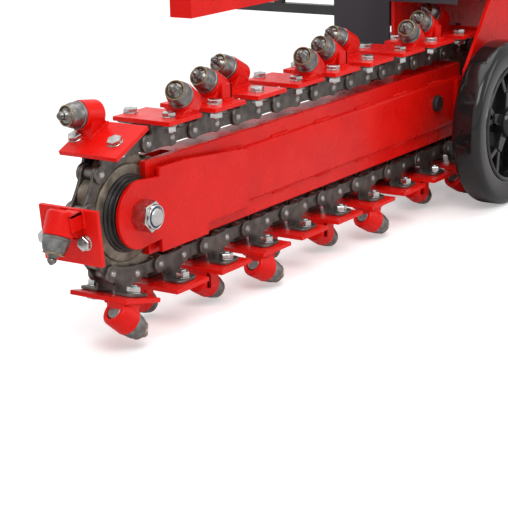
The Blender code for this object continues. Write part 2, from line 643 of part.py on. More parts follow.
def make_drive():
    """The drive shaft and the case of the chain drive from the engine."""
    inner_end, outer_end = -(OUT + BOSS_H + 0.0002), CASE_IN + CASE_W * 0.6
    shaft = rod("drive_shaft", SHAFT_R, (0, inner_end, AXIS_Z), (0, outer_end, AXIS_Z), 16, STEEL)
    top = (ENGINE_MID_X, DECK_TOP + CRANK_UP)
    tilt = math.degrees(math.atan2(top[1] - AXIS_Z, top[0]))
    start = CASE_IN + CASE_GAP
    outline = [*arc((0, AXIS_Z), 0.050, tilt + 90, tilt + 270, 10),
               *arc(top, 0.042, tilt - 90, tilt + 90, 8)]
    case = plate("drive_case", outline, start, CASE_IN + CASE_W, BLACK)
    bore = rod("bore", SHAFT_R + GAP, (0, 0, AXIS_Z), (0, outer_end + GAP, AXIS_Z), 16)
    return [shaft, combine(case, [bore], "DIFFERENCE")]


def make_wheel(name, side, face):
    """Tyre, spoked rim and stub axle of one wheel."""
    x, z = AXLE_BACK, TYRE_R
    y0, y1 = side * face, side * (face + TYRE_W)
    r = RIM_R + GAP

    def section(*points):
        return [(radius, y0 + (y1 - y0) * t) for radius, t in points]

    tyre = turned("tyre_" + name, section((r, 0.06), (RIM_R + 0.018, 0.0), (TYRE_R - 0.012, 0.02),
                                          (TYRE_R, 0.14), (TYRE_R, 0.86), (TYRE_R - 0.012, 0.98),
                                          (RIM_R + 0.018, 1.0), (r, 0.94)), (x, z), 28, RUBBER)
    rim = turned("rim_" + name, section((RIM_R, 0.08), (RIM_R, 0.92), (RIM_R - 0.010, 0.92),
                                        (RIM_R - 0.012, 0.60), (0.030, 0.66), (0.026, 0.98),
                                        (STUB_R + GAP, 0.98), (STUB_R + GAP, 0.04), (0.024, 0.04),
                                        (0.026, 0.40), (RIM_R - 0.012, 0.46), (RIM_R - 0.010, 0.08)),
                 (x, z), 28, BLACK)
    windows = []
    for i in range(5):
        spin = Matrix.Rotation(math.radians(72 * i), 4, "Y")
        ends = [Vector((x, y, z)) + spin @ Vector((0, 0, 0.061)) for y in (y0, y1)]
        windows.append(rod("window", 0.021, ends[0], ends[1], 6))
    rim = combine(rim, windows, "DIFFERENCE")
    inner = side * (SIDE_IN + GAP)
    stub = rod("stub_axle_" + name, STUB_R, (x, inner, z), (x, y1 + side * 0.013, z), 16, ZINC)
    collar = rod("collar", 0.020, (x, side * (OUT + GAP), z), (x, y0 + side * 0.0015, z), 16)
    nut = rod("nut", 0.016, (x, y1 - side * 0.0005, z), (x, y1 + side * 0.010, z), 6)
    return [tyre, rim, combine(stub, [collar, nut])]


def make_engine():
    """Engine, its cover, tank, cap, muffler and starter grip."""
    x, y, z = ENGINE_MID_X, ENGINE_MID_Y, DECK_TOP + GAP
    crank_z = DECK_TOP + CRANK_UP
    block = box("engine_block", (x - ENGINE_FRONT, x + ENGINE_BACK),
                (y - ENGINE_HALF, y + ENGINE_HALF), (z, z + ENGINE_H), ALLOY)
    foot = box("foot", (x - 0.105, x + 0.115), (y - 0.060, y + 0.060), (z, z + 0.012))
    head = box("head", (x - 0.155, x - 0.080), (y - 0.055, y + 0.055), (z + 0.075, z + 0.190))
    crank = rod("crank", CRANK_R, (x, y, crank_z), (x, CASE_IN + CASE_GAP - 0.0005, crank_z), 12)
    air = box("air_cleaner", (x + 0.098, x + 0.175), (y - 0.055, y + 0.055), (z + 0.085, z + 0.200))
    block = combine(block, [foot, head, crank, air])
    front = y - ENGINE_HALF - GAP
    cover = rod("recoil_cover", COVER_R, (x, front, z + CRANK_UP),
                (x, front - COVER_DEPTH, z + CRANK_UP), 24, BLACK, end_radius=0.082)
    tank = box("fuel_tank", (x - 0.110, x + 0.120), (y - 0.085, y + 0.075),
               (z + TANK_UP + 0.0005, z + TANK_UP + TANK_H), RED)
    soft = tank.modifiers.new("soft", "BEVEL")
    soft.width = 0.022
    soft.segments = 2
    tank = flatten(tank)
    brackets = [box("bracket", (x + dx, x + dx + 0.02), (y - 0.06, y + 0.06),
                    (z + ENGINE_H + 0.0002, z + TANK_UP + 0.003)) for dx in (-0.075, 0.060)]
    tank = combine(tank, brackets)
    cap_z = z + TANK_UP + TANK_H + GAP
    cap = rod("fuel_cap", 0.027, (x + 0.02, y, cap_z), (x + 0.02, y, cap_z + 0.018), 12, BLACK)
    muffler = box("muffler", (x - 0.080, x + 0.030), (y + ENGINE_HALF + GAP, CASE_IN),
                  (z + 0.130, z + 0.205), CAST)
    grip_x, grip_y, grip_z = x + 0.0925, front - 0.028, z + CRANK_UP + 0.045
    guide = rod("guide", 0.007, (x + 0.060, grip_y, grip_z), (grip_x - GAP, grip_y, grip_z), 10)
    cover = combine(cover, [guide])
    grip = box("starter_grip", (grip_x, grip_x + 0.022), (grip_y - 0.045, grip_y + 0.022),
               (grip_z - 0.009, grip_z + 0.009), BLACK)
    return [block, cover, tank, cap, muffler, grip]


def make_handle():
    """Handlebar with its grip sleeves and lever lugs, the engagement lever and the throttle."""
    base_x = SIDE_REAR + GAP + TUBE + 0.002 + BAR_R
    base_z = DECK_TOP - DECK_T - GAP - TUBE / 2
    arm_y = TUBE_HALF - 0.02
    near = [(base_x, -arm_y, base_z - 0.015), (base_x, -arm_y, base_z + HANDLE_RISE),
            (HANDLE_X - 0.12, -HANDLE_HALF, HANDLE_Z - 0.04),
            (HANDLE_X - 0.03, -HANDLE_HALF, HANDLE_Z - 0.006),
            (HANDLE_X, -HANDLE_HALF + 0.03, HANDLE_Z)]
    path = near + [(px, -py, pz) for px, py, pz in reversed(near)]
    bar = tube("handlebar", path, BAR_R, BLACK)
    seats = [box("seat", (SIDE_REAR + 2 * GAP + TUBE, base_x),
                 (side * arm_y - 0.012, side * arm_y + 0.012), (base_z - 0.018, base_z + 0.018))
             for side in (-1, 1)]
    sleeves = [rod("sleeve", GRIP_R, (HANDLE_X, side * SLEEVE[0], HANDLE_Z),
                   (HANDLE_X, side * SLEEVE[1], HANDLE_Z), 12) for side in (-1, 1)]
    lever_x, lever_z = HANDLE_X - LEVER_BACK, HANDLE_Z - LEVER_DROP
    inner = HANDLE_HALF - BAR_R - 0.012
    lugs = [rod("lug", 0.008, (lever_x, side * (inner + 0.0062 + GAP), lever_z),
                (lever_x, side * HANDLE_HALF, lever_z), 10) for side in (-1, 1)]
    bar = combine(bar, seats + sleeves + lugs)
    half = [(lever_x, -inner, lever_z), (lever_x + 0.05, -inner + 0.02, lever_z + 0.075),
            (lever_x + 0.065, -inner + 0.05, lever_z + 0.090)]
    lever = tube("clutch_lever", half + [(px, -py, pz) for px, py, pz in reversed(half)],
                 LEVER_R, RED, 1)
    pivot_z = HANDLE_Z + BAR_R * math.cos(math.pi / 8) + GAP + THROTTLE_R
    throttle = rod("throttle_lever", THROTTLE_R, (HANDLE_X, -0.011, pivot_z),
                   (HANDLE_X, 0.011, pivot_z), 12, BLACK)
    blade = box("blade", (HANDLE_X - 0.004, HANDLE_X + 0.004), (-0.005, 0.005),
                (pivot_z, pivot_z + 0.048))
    throttle = combine(throttle, [blade])
    return [bar, lever, throttle]


def make_stand():
    """Folding rear stand, hung from two ears under the rear tube, and the depth clamp handle."""
    pivot_z = DECK_TOP - DECK_T - 2 * GAP - TUBE - STAND_DROP
    x = SIDE_REAR + GAP + TUBE / 2
    leg = [(x, -STAND_HALF, pivot_z), (x + 0.008, -STAND_HALF, pivot_z - 0.032),
           (STAND_FOOT, -STAND_HALF - 0.02, STAND_R)]
    stand = tube("parking_stand", leg + [(px, -py, pz) for px, py, pz in reversed(leg)],
                 STAND_R, BLACK)
    y_out = -(OUT + 0.0055)
    clamp = rod("depth_clamp", CLAMP_R, (SLOT_R, -(SIDE_IN - 0.0075), AXIS_Z),
                (SLOT_R, y_out, AXIS_Z), 12, ZINC)
    knob = rod("knob", 0.011, (SLOT_R, -(OUT + GAP), AXIS_Z), (SLOT_R, -(OUT + BOSS_H), AXIS_Z), 12)
    arm = rod("arm", 0.004, (SLOT_R, y_out, AXIS_Z), (SLOT_R + 0.080, y_out, AXIS_Z - 0.020), 8)
    return [stand, combine(clamp, [knob, arm])]


# ---- build and stand the machine on its footprint ---------------------------------------------------
pieces = [make_beam(), *make_nose(), *make_drive_end(), *make_chain(), *make_frame(), *make_drive(),
          *make_wheel("near", -1, WHEEL_FACE), *make_wheel("far", 1, FAR_FACE),
          *make_engine(), *make_handle(), *make_stand()]
bpy.context.view_layer.update()
corners = [piece.matrix_world @ Vector(corner) for piece in pieces for corner in piece.bound_box]
low = Vector([min(c[i] for c in corners) for i in range(3)])
high = Vector([max(c[i] for c in corners) for i in range(3)])
root = bpy.data.objects.new("trencher_origin", None)
collection.objects.link(root)
for piece in pieces:
    piece.parent = root
root.location = (-(low.x + high.x) / 2, -(low.y + high.y) / 2, -low.z)
bpy.context.view_layer.update()
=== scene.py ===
"""Looks of the walk-behind trencher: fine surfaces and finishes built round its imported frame."""
import json
import math
import random

import bmesh
import bpy
from mathutils import Matrix, Vector


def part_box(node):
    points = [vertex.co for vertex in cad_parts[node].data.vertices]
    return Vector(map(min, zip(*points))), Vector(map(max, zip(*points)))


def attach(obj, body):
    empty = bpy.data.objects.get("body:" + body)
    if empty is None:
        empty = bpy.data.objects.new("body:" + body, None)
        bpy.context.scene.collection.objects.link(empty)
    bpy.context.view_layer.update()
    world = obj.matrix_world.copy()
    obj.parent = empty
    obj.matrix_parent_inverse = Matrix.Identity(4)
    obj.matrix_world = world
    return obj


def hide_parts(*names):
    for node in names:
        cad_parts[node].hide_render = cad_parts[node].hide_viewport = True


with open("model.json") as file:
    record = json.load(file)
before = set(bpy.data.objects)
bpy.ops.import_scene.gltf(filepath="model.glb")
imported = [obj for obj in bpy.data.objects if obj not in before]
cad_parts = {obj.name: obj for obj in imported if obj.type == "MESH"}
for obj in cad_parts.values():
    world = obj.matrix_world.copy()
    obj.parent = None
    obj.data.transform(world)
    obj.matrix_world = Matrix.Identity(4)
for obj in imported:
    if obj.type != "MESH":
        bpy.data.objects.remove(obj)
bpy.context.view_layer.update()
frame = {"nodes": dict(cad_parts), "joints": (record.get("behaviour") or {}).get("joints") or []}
random.seed(7)


def middle(node):
    low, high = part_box(node)
    return (low + high) / 2


# ---- places read from the frame, metres ------------------------------------------------------
PIVOT = Vector(next(j for j in frame["joints"] if j["name"] == "boom_pivot")["pos_m"])
NOSE_X = middle("nose_bolt").x
BOOM = PIVOT.x - NOSE_X
MID_Y, AXIS_Z = PIVOT.y, PIVOT.z

# ---- chain and cutter sizes, the same as the frame's --------------------------------------------
PITCH = BOOM / 19
SPAN, TEETH = 19, 10
LOOP = 2 * SPAN + TEETH
PHASE = 0.15
SPROCKET_R = PITCH / (2 * math.sin(math.pi / TEETH))
INNER_HALF, LINK_T, LINK_H, GAP = 0.0079, 0.0040, 0.0240, 0.0003
OUTER_MID = INNER_HALF + LINK_T * 1.5 + GAP
OUTER_FACE = OUTER_MID + LINK_T / 2
TAB_TOP, TAB_REACH = 0.0264, 0.044
PLATE_T = 0.006
PLATE_TOP = TAB_TOP + GAP + PLATE_T
BOLT_Y = 0.0318
HEX_10 = 0.017 / math.sqrt(3)
HOLDER_R, HOLDER_LENGTH = 0.019, 0.031
LEAN = math.radians(60)
SPLAY = {"near": math.radians(12), "far": math.radians(-8), "middle": 0.0}
SIDE = {"near": 0.034, "far": -0.023, "middle": 0.010}


# ---- materials -----------------------------------------------------------------------------------
def shader_of(name):
    made = bpy.data.materials.new(name)
    made.use_nodes = True
    return made, made.node_tree, made.node_tree.nodes["Principled BSDF"]


def noise(tree, scale, detail=4.0, roughness=0.5, stretch=None):
    """A noise over the object's own coordinates, in metres."""
    coord = tree.nodes.new("ShaderNodeTexCoord")
    source = coord.outputs["Object"]
    if stretch:
        mapping = tree.nodes.new("ShaderNodeMapping")
        mapping.inputs["Scale"].default_value = stretch
        tree.links.new(source, mapping.inputs["Vector"])
        source = mapping.outputs["Vector"]
    made = tree.nodes.new("ShaderNodeTexNoise")
    made.inputs["Scale"].default_value = scale
    made.inputs["Detail"].default_value = detail
    made.inputs["Roughness"].default_value = roughness
    tree.links.new(source, made.inputs["Vector"])
    return made.outputs["Fac"]


def ramp(tree, source, stops):
    """Colours along a value; stops are (place, (r, g, b))."""
    made = tree.nodes.new("ShaderNodeValToRGB")
    while len(made.color_ramp.elements) < len(stops):
        made.color_ramp.elements.new(0.5)
    for element, (place, colour) in zip(made.color_ramp.elements, stops):
        element.position = place
        element.color = (*colour, 1.0)
    tree.links.new(source, made.inputs["Fac"])
    return made.outputs["Color"]


def spread(tree, source, low, high, start=0.3, end=0.7):
    made = tree.nodes.new("ShaderNodeMapRange")
    made.inputs["From Min"].default_value = start
    made.inputs["From Max"].default_value = end
    made.inputs["To Min"].default_value = low
    made.inputs["To Max"].default_value = high
    tree.links.new(source, made.inputs["Value"])
    return made.outputs["Result"]


def bump(tree, shader, source, distance, strength=1.0):
    made = tree.nodes.new("ShaderNodeBump")
    made.inputs["Distance"].default_value = distance
    made.inputs["Strength"].default_value = strength
    tree.links.new(source, made.inputs["Height"])
    tree.links.new(made.outputs["Normal"], shader.inputs["Normal"])


def edges(tree, plain, worn, start=0.54, end=0.64):
    """Mix a second colour in along convex edges."""
    point = tree.nodes.new("ShaderNodeNewGeometry").outputs["Pointiness"]
    share = spread(tree, point, 0.0, 1.0, start, end)
    mix = tree.nodes.new("ShaderNodeMix")
    mix.data_type = "RGBA"
    tree.links.new(share, mix.inputs["Factor"])
    tree.links.new(plain, mix.inputs["A"])
    mix.inputs["B"].default_value = (*worn, 1.0)
    return mix.outputs["Result"]


def surface(name, stops, rough, metallic=0.0, scale=40.0, grain=400.0, depth=0.0, coat=0.0,
            worn=None, stretch=None, shine=0.5):
    """A finish: mottled colour, roughness that varies, fine bump, and worn edges if it has them."""
    made, tree, shader = shader_of(name)
    broad = noise(tree, scale, 5.0, 0.55, stretch)
    colour = ramp(tree, broad, stops)
    if worn:
        colour = edges(tree, colour, worn)
    tree.links.new(colour, shader.inputs["Base Color"])
    tree.links.new(spread(tree, noise(tree, scale * 2.7), *rough), shader.inputs["Roughness"])
    shader.inputs["Metallic"].default_value = metallic
    shader.inputs["Specular IOR Level"].default_value = shine
    if depth:
        bump(tree, shader, noise(tree, grain, 3.0), depth)
    if coat:
        shader.inputs["Coat Weight"].default_value = coat
        shader.inputs["Coat Roughness"].default_value = 0.06
    return made


RED = surface("red_enamel", [(0.35, (0.66, 0.0050, 0.003)), (0.65, (0.76, 0.009, 0.005))],
              (0.24, 0.34), scale=14, grain=220, depth=0.00008, shine=0.16)
CHAIN = surface("chain_steel", [(0.30, (0.050, 0.043, 0.038)), (0.55, (0.105, 0.094, 0.085)),
                                (0.75, (0.16, 0.142, 0.125))],
                (0.34, 0.52), 0.75, scale=70, grain=900, depth=0.00006, worn=(0.32, 0.30, 0.28))
PIN = surface("pin_steel", [(0.3, (0.26, 0.25, 0.24)), (0.7, (0.48, 0.47, 0.45))],
              (0.25, 0.4), 0.9, scale=160, grain=900, depth=0.00004)
ZINC = surface("zinc_plate", [(0.3, (0.36, 0.36, 0.35)), (0.7, (0.60, 0.60, 0.59))],
               (0.16, 0.30), 1.0, scale=120, grain=700, depth=0.00004)
TOOTH = surface("tooth_steel", [(0.3, (0.11, 0.105, 0.10)), (0.55, (0.19, 0.185, 0.178)),
                                (0.8, (0.29, 0.28, 0.27))],
                (0.28, 0.42), 0.95, scale=110, grain=1100, depth=0.00004)
BRONZE = surface("bronze_ring", [(0.3, (0.19, 0.135, 0.075)), (0.7, (0.33, 0.25, 0.155))],
                 (0.25, 0.4), 0.9, scale=150, grain=900, depth=0.00003)
CARBIDE = surface("carbide", [(0.3, (0.07, 0.066, 0.062)), (0.7, (0.24, 0.225, 0.21))],
                  (0.12, 0.26), 0.9, scale=140, grain=900, depth=0.00003)
CAST = surface("worn_cast", [(0.32, (0.075, 0.058, 0.040)), (0.48, (0.16, 0.135, 0.10)),
                             (0.62, (0.27, 0.235, 0.18)), (0.78, (0.12, 0.10, 0.08))],
               (0.38, 0.6), 0.55, scale=48, grain=500, depth=0.0002)
SEAL = surface("seal_black", [(0.3, (0.012, 0.012, 0.012)), (0.7, (0.03, 0.028, 0.026))],
               (0.25, 0.45), 0.2, scale=90, grain=700, depth=0.00005)
BLUE = surface("nylon_blue", [(0.3, (0.02, 0.09, 0.20)), (0.7, (0.04, 0.15, 0.30))],
               (0.35, 0.5), scale=200, grain=900, depth=0.00003)
TYRE = surface("tyre_rubber", [(0.3, (0.006, 0.006, 0.0065)), (0.7, (0.013, 0.013, 0.0135))],
               (0.07, 0.13), scale=26, grain=500, depth=0.00003, shine=0.34)
GLOSS = surface("black_gloss", [(0.3, (0.009, 0.009, 0.010)), (0.7, (0.016, 0.016, 0.017))],
                (0.08, 0.16), scale=30, grain=600, depth=0.00003, shine=0.36)
BLACK = surface("black_coat", [(0.3, (0.014, 0.014, 0.015)), (0.7, (0.028, 0.027, 0.027))],
                (0.32, 0.46), scale=40, grain=1200, depth=0.00012)
FLAP = surface("charcoal_sheet", [(0.3, (0.038, 0.035, 0.041)), (0.7, (0.058, 0.054, 0.061))],
               (0.42, 0.56), scale=9, grain=900, depth=0.00010, stretch=(1.0, 1.0, 0.2), shine=0.2)
ALLOY = surface("cast_alloy", [(0.3, (0.40, 0.40, 0.41)), (0.7, (0.56, 0.56, 0.57))],
                (0.38, 0.55), 0.9, scale=60, grain=900, depth=0.00025)
PLASTIC = surface("black_plastic", [(0.3, (0.012, 0.012, 0.013)), (0.7, (0.022, 0.022, 0.023))],
                  (0.34, 0.50), scale=50, grain=1500, depth=0.00018)
HEAT = surface("heat_steel", [(0.3, (0.20, 0.17, 0.14)), (0.5, (0.34, 0.31, 0.29)),
                              (0.75, (0.24, 0.22, 0.24))],
               (0.36, 0.55), 0.9, scale=24, grain=800, depth=0.0001)
GRIP = surface("grip_rubber", [(0.3, (0.016, 0.016, 0.016)), (0.7, (0.030, 0.030, 0.030))],
               (0.55, 0.72), scale=80, grain=1400, depth=0.0002)


# ---- mesh helpers ----------------------------------------------------------------------------------
def paint_faces(verts, index):
    for face in {f for v in verts for f in v.link_faces}:
        face.material_index = index


def block(bm, low, high, place=Matrix(), index=0):
    low, high = Vector(low), Vector(high)
    size = Matrix.Diagonal((*(high - low), 1.0))
    made = bmesh.ops.create_cube(bm, size=1.0,
                                 matrix=place @ Matrix.Translation((low + high) / 2) @ size)
    paint_faces(made["verts"], index)


def along(start, end):
    """Frame with its z axis from start to end, its origin at start."""
    start, end = Vector(start), Vector(end)
    turn = (end - start).to_track_quat("Z", "Y").to_matrix().to_4x4()
    return Matrix.Translation(start) @ turn


def lathe(bm, profile, place, sides=32, indices=None, index=0):
    """Turn (radius, height) points about the place's z axis; the ends close where radius is 0."""
    rings = []
    for radius, height in profile:
        if radius < 1e-7:
            rings.append([bm.verts.new(place @ Vector((0, 0, height)))])
            continue
        ring = []
        for i in range(sides):
            angle = 2 * math.pi * i / sides
            ring.append(bm.verts.new(place @ Vector((radius * math.cos(angle),
                                                     radius * math.sin(angle), height))))
        rings.append(ring)
    for k, (lower, upper) in enumerate(zip(rings, rings[1:])):
        for i in range(sides):
            j = (i + 1) % sides
            corners = [lower[i % len(lower)], lower[j % len(lower)],
                       upper[j % len(upper)], upper[i % len(upper)]]
            unique = list(dict.fromkeys(corners))
            face = bm.faces.new(unique)
            face.material_index = indices[k] if indices else index


def drum(bm, radius, start, end, sides=24, chamfer=0.0004, index=0, end_radius=None):
    """A solid round bar with small chamfers."""
    length = (Vector(end) - Vector(start)).length
    top = radius if end_radius is None else end_radius
    lathe(bm, [(0, 0), (radius - chamfer, 0), (radius, chamfer), (top, length - chamfer),
               (top - chamfer, length), (0, length)], along(start, end), sides, index=index)


def hexagon(bm, radius, start, end, turn=0.0, index=0):
    """A hexagonal head or nut with its corners chamfered at both faces."""
    length = (Vector(end) - Vector(start)).length
    place = along(start, end) @ Matrix.Rotation(turn, 4, "Z")
    flat = radius * 0.93
    lathe(bm, [(0, 0), (flat, 0), (radius, 0.0009), (radius, length - 0.0009), (flat, length),
               (0, length)], place, 6, index=index)


def slab(bm, outline, low, high, place=Matrix(), index=0):
    """A flat plate: an outline in the place's x-y plane, from z low to z high."""
    bottom = [bm.verts.new(place @ Vector((x, y, low))) for x, y in outline]
    top = [bm.verts.new(place @ Vector((x, y, high))) for x, y in outline]
    faces = [bm.faces.new(bottom), bm.faces.new(top)]
    for i in range(len(outline)):
        j = (i + 1) % len(outline)
        faces.append(bm.faces.new((bottom[i], bottom[j], top[j], top[i])))
    for face in faces:
        face.material_index = index


def hull(bm, points, index=0):
    """A closed convex solid round the points."""
    verts = [bm.verts.new(p) for p in points]
    made = bmesh.ops.convex_hull(bm, input=verts)
    loose = [v for v in verts if v.is_valid and not v.link_faces]
    bmesh.ops.delete(bm, geom=loose, context="VERTS")
    for item in made["geom"]:
        if isinstance(item, bmesh.types.BMFace) and item.is_valid:
            item.material_index = index


def bead(bm, start, end, radius=0.0022, index=0):
    """A weld bead of overlapping ripples between two points."""
    start, end = Vector(start), Vector(end)
    count = max(2, int((end - start).length / (radius * 0.95)))
    for i in range(count + 1):
        size = radius * random.uniform(0.82, 1.15)
        jitter = Vector([random.uniform(-0.18, 0.18) * radius for _ in range(3)])
        made = bmesh.ops.create_uvsphere(bm, u_segments=8, v_segments=5, radius=size,
                                         matrix=Matrix.Translation(start.lerp(end, i / count) + jitter))
        paint_faces(made["verts"], index)


def curve_of(centre, radius, start, end, steps):
    """Points on an arc, angles in degrees."""
    made = []
    for i in range(steps + 1):
        angle = math.radians(start + (end - start) * i / steps)
        made.append((centre[0] + radius * math.cos(angle), centre[1] + radius * math.sin(angle)))
    return made


def piece(name, bm, finishes, body, place=None, bevel=0.0006, stands_for=(), angle=32):
    """The mesh as a named piece that rides on a body."""
    mesh = bpy.data.meshes.new(name)
    bmesh.ops.recalc_face_normals(bm, faces=bm.faces)
    bm.to_mesh(mesh)
    bm.free()
    for finish in finishes:
        mesh.materials.append(finish)
    mesh.shade_smooth()
    mesh.set_sharp_from_angle(angle=math.radians(angle))
    return show(name, mesh, body, place, bevel, stands_for)


def show(name, data, body, place=None, bevel=0.0, stands_for=()):
    made = bpy.data.objects.new(name, data)
    bpy.context.scene.collection.objects.link(made)
    if place is not None:
        made.matrix_world = place
    if bevel:
        soft = made.modifiers.new("edges", "BEVEL")
        soft.width = bevel
        soft.segments = 2
        soft.limit_method = "ANGLE"
        soft.angle_limit = math.radians(40)
    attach(made, body)
    if stands_for:
        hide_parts(*stands_for)
    return made


def rounded(points, radius, steps=6):
    """A path with its corners turned into arcs."""
    points = [Vector(p) for p in points]
    made = [points[0]]
    for before, here, after in zip(points, points[1:], points[2:]):
        reach = min(radius, (before - here).length * 0.45, (after - here).length * 0.45)
        start = here + (before - here).normalized() * reach
        end = here + (after - here).normalized() * reach
        for i in range(steps + 1):
            t = i / steps
            made.append(start * (1 - t) ** 2 + here * (2 * t * (1 - t)) + end * t ** 2)
    return made + [points[-1]]


def pipe(name, points, radius, finish, body, bend=0.05, stands_for=()):
    """A round bent tube with filled ends."""
    curve = bpy.data.curves.new(name, "CURVE")
    curve.dimensions = "3D"
    curve.bevel_depth = radius
    curve.bevel_resolution = 7
    curve.use_fill_caps = True
    path = rounded(points, bend)
    spline = curve.splines.new("POLY")
    spline.points.add(len(path) - 1)
    for point, at in zip(spline.points, path):
        point.co = (*at, 1.0)
    spline.use_smooth = True
    curve.materials.append(finish)
    return show(name, curve, body, stands_for=stands_for)


def keep(node, finish, bevel=0.0012, angle=32):
    """A frame node that stays, with a finish and softened edges."""
    obj = frame["nodes"][node]
    obj.data.materials.clear()
    obj.data.materials.append(finish)
    obj.data.shade_smooth()
    obj.data.set_sharp_from_angle(angle=math.radians(angle))
    if bevel:
        soft = obj.modifiers.new("edges", "BEVEL")
        soft.width = bevel
        soft.segments = 2
        soft.limit_method = "ANGLE"
        soft.angle_limit = math.radians(40)


# ---- chain -----------------------------------------------------------------------------------------
def chain_point(k):
    """Place of the chain line k pitches from the drive sprocket's top, in (x, z)."""
    k %= LOOP
    half = TEETH / 2
    if k <= SPAN:
        return Vector((-k * PITCH, SPROCKET_R))
    if k <= SPAN + half:
        angle = math.pi * (0.5 + (k - SPAN) / half)
        return Vector((-BOOM + SPROCKET_R * math.cos(angle), SPROCKET_R * math.sin(angle)))
    if k <= 2 * SPAN + half:
        return Vector((-BOOM + (k - SPAN - half) * PITCH, -SPROCKET_R))
    angle = math.pi * (-0.5 + (k - 2 * SPAN - half) / half)
    return Vector((SPROCKET_R * math.cos(angle), SPROCKET_R * math.sin(angle)))


def link_frame(n):
    """World frame of the link after pin n: x along the travel, y to the near side, z outwards."""
    rear, front = chain_point(n + PHASE), chain_point(n + 1 + PHASE)
    run = (front - rear).normalized()
    centre = (front + rear) / 2
    return Matrix(((run.x, 0, run.y, PIVOT.x + centre.x), (0, -1, 0, MID_Y),
                   (run.y, 0, -run.x, AXIS_Z + centre.y), (0, 0, 0, 1)))


def standing(place, y):
    """Frame whose x-y plane is the link's x-z plane, at a distance y to the near side."""
    return place @ Matrix(((1, 0, 0, 0), (0, 0, -1, y), (0, 1, 0, 0), (0, 0, 0, 1)))


def link_outline(waist, shoulder=None):
    """Outline of a link plate; a shoulder is the half-length and height of its tab's root."""
    r, reach = LINK_H / 2, PITCH / 2
    left = curve_of((-reach, 0), r, 60, 300, 12)
    right = curve_of((reach, 0), r, -120, 120, 12)
    top = [(reach * 0.45, waist), (0, waist * 0.97), (-reach * 0.45, waist)]
    under = [(-reach * 0.45, -waist), (0, -waist * 0.97), (reach * 0.45, -waist)]
    if shoulder:
        half, height = shoulder
        top = [(half + 0.003, r * 0.98), (half, r + 0.003), (half, height),
               (-half, height), (-half, r + 0.003), (-half - 0.003, r * 0.98)]
        right = curve_of((reach, 0), r, -120, 100, 12)
        left = curve_of((-reach, 0), r, 80, 300, 12)
    return right + top + left + under


def make_chain():
    plates, joints, fixings = bmesh.new(), bmesh.new(), bmesh.new()
    inner, outer = link_outline(0.0086), link_outline(0.0096, (0.0175, TAB_TOP - 0.0035))
    for n in range(LOOP):
        place = link_frame(n)
        is_outer = n % 2 == 1
        low = INNER_HALF + (LINK_T + GAP if is_outer else 0.0)
        for side in (1, -1):
            near, far = sorted((side * low, side * (low + LINK_T)))
            slab(plates, outer if is_outer else inner, -far, -near, standing(place, 0.0))
        pin = place @ Matrix.Translation((-PITCH / 2, 0, 0))
        ends = [pin @ Vector((0, y, 0)) for y in (-INNER_HALF + 0.0004, INNER_HALF - 0.0004)]
        drum(joints, 0.0079, *ends, 20, 0.0006)
        reach = OUTER_FACE + 0.0016
        ends = [pin @ Vector((0, y, 0)) for y in (-reach, reach)]
        drum(fixings, 0.0042, *ends, 16, 0.0011)
        for side in (1, -1):
            collar = [pin @ Vector((0, side * y, 0)) for y in (OUTER_FACE - 0.001, OUTER_FACE + 0.0005)]
            drum(joints, 0.0061, *collar, 16, 0.0003)
        if not is_outer:
            continue
        for side in (1, -1):
            flange = [(0.0175, OUTER_MID), (0.0190, OUTER_FACE + 0.006),
                      *curve_of((0.0095, TAB_REACH - 0.0105), 0.0105, 0, 90, 5),
                      *curve_of((-0.0095, TAB_REACH - 0.0105), 0.0105, 90, 180, 5),
                      (-0.0190, OUTER_FACE + 0.006), (-0.0175, OUTER_MID)]
            slab(plates, [(x, side * y) for x, y in flange], TAB_TOP - 0.004, TAB_TOP, place)
    piece("chain_link_plates", plates, [CHAIN], "boom", bevel=0.0007,
          stands_for=["digging_chain"])
    piece("chain_rollers", joints, [CHAIN], "boom", bevel=0.0)
    piece("chain_pins", fixings, [PIN], "boom", bevel=0.0)


def bolt_mesh(turn):
    """The two bolts of a cutter plate, their washers, and the nuts under the chain's tabs."""
    bm = bmesh.new()
    for side in (1, -1):
        y = side * BOLT_Y
        spin = turn * side
        drum(bm, 0.0102, (0, y, PLATE_TOP - 0.0002), (0, y, PLATE_TOP + 0.0012), 24, 0.0003)
        hexagon(bm, HEX_10, (0, y, PLATE_TOP + 0.0010), (0, y, PLATE_TOP + 0.0065), spin)
        low = TAB_TOP - 0.004
        drum(bm, 0.0105, (0, y, low + 0.0002), (0, y, low - 0.0014), 24, 0.0003)
        hexagon(bm, HEX_10, (0, y, low - 0.0012), (0, y, low - 0.0085), -spin)
        drum(bm, 0.0049, (0, y, low - 0.008), (0, y, low - 0.0105), 16, 0.0008)
    return bm


def holder_axis(kind):
    splay = SPLAY[kind]
    return Vector((math.sin(LEAN) * math.cos(splay), math.sin(splay),
                   math.cos(LEAN) * math.cos(splay)))


def holder_rear(kind):
    return Vector((-0.041, SIDE[kind], PLATE_TOP + 0.0105))


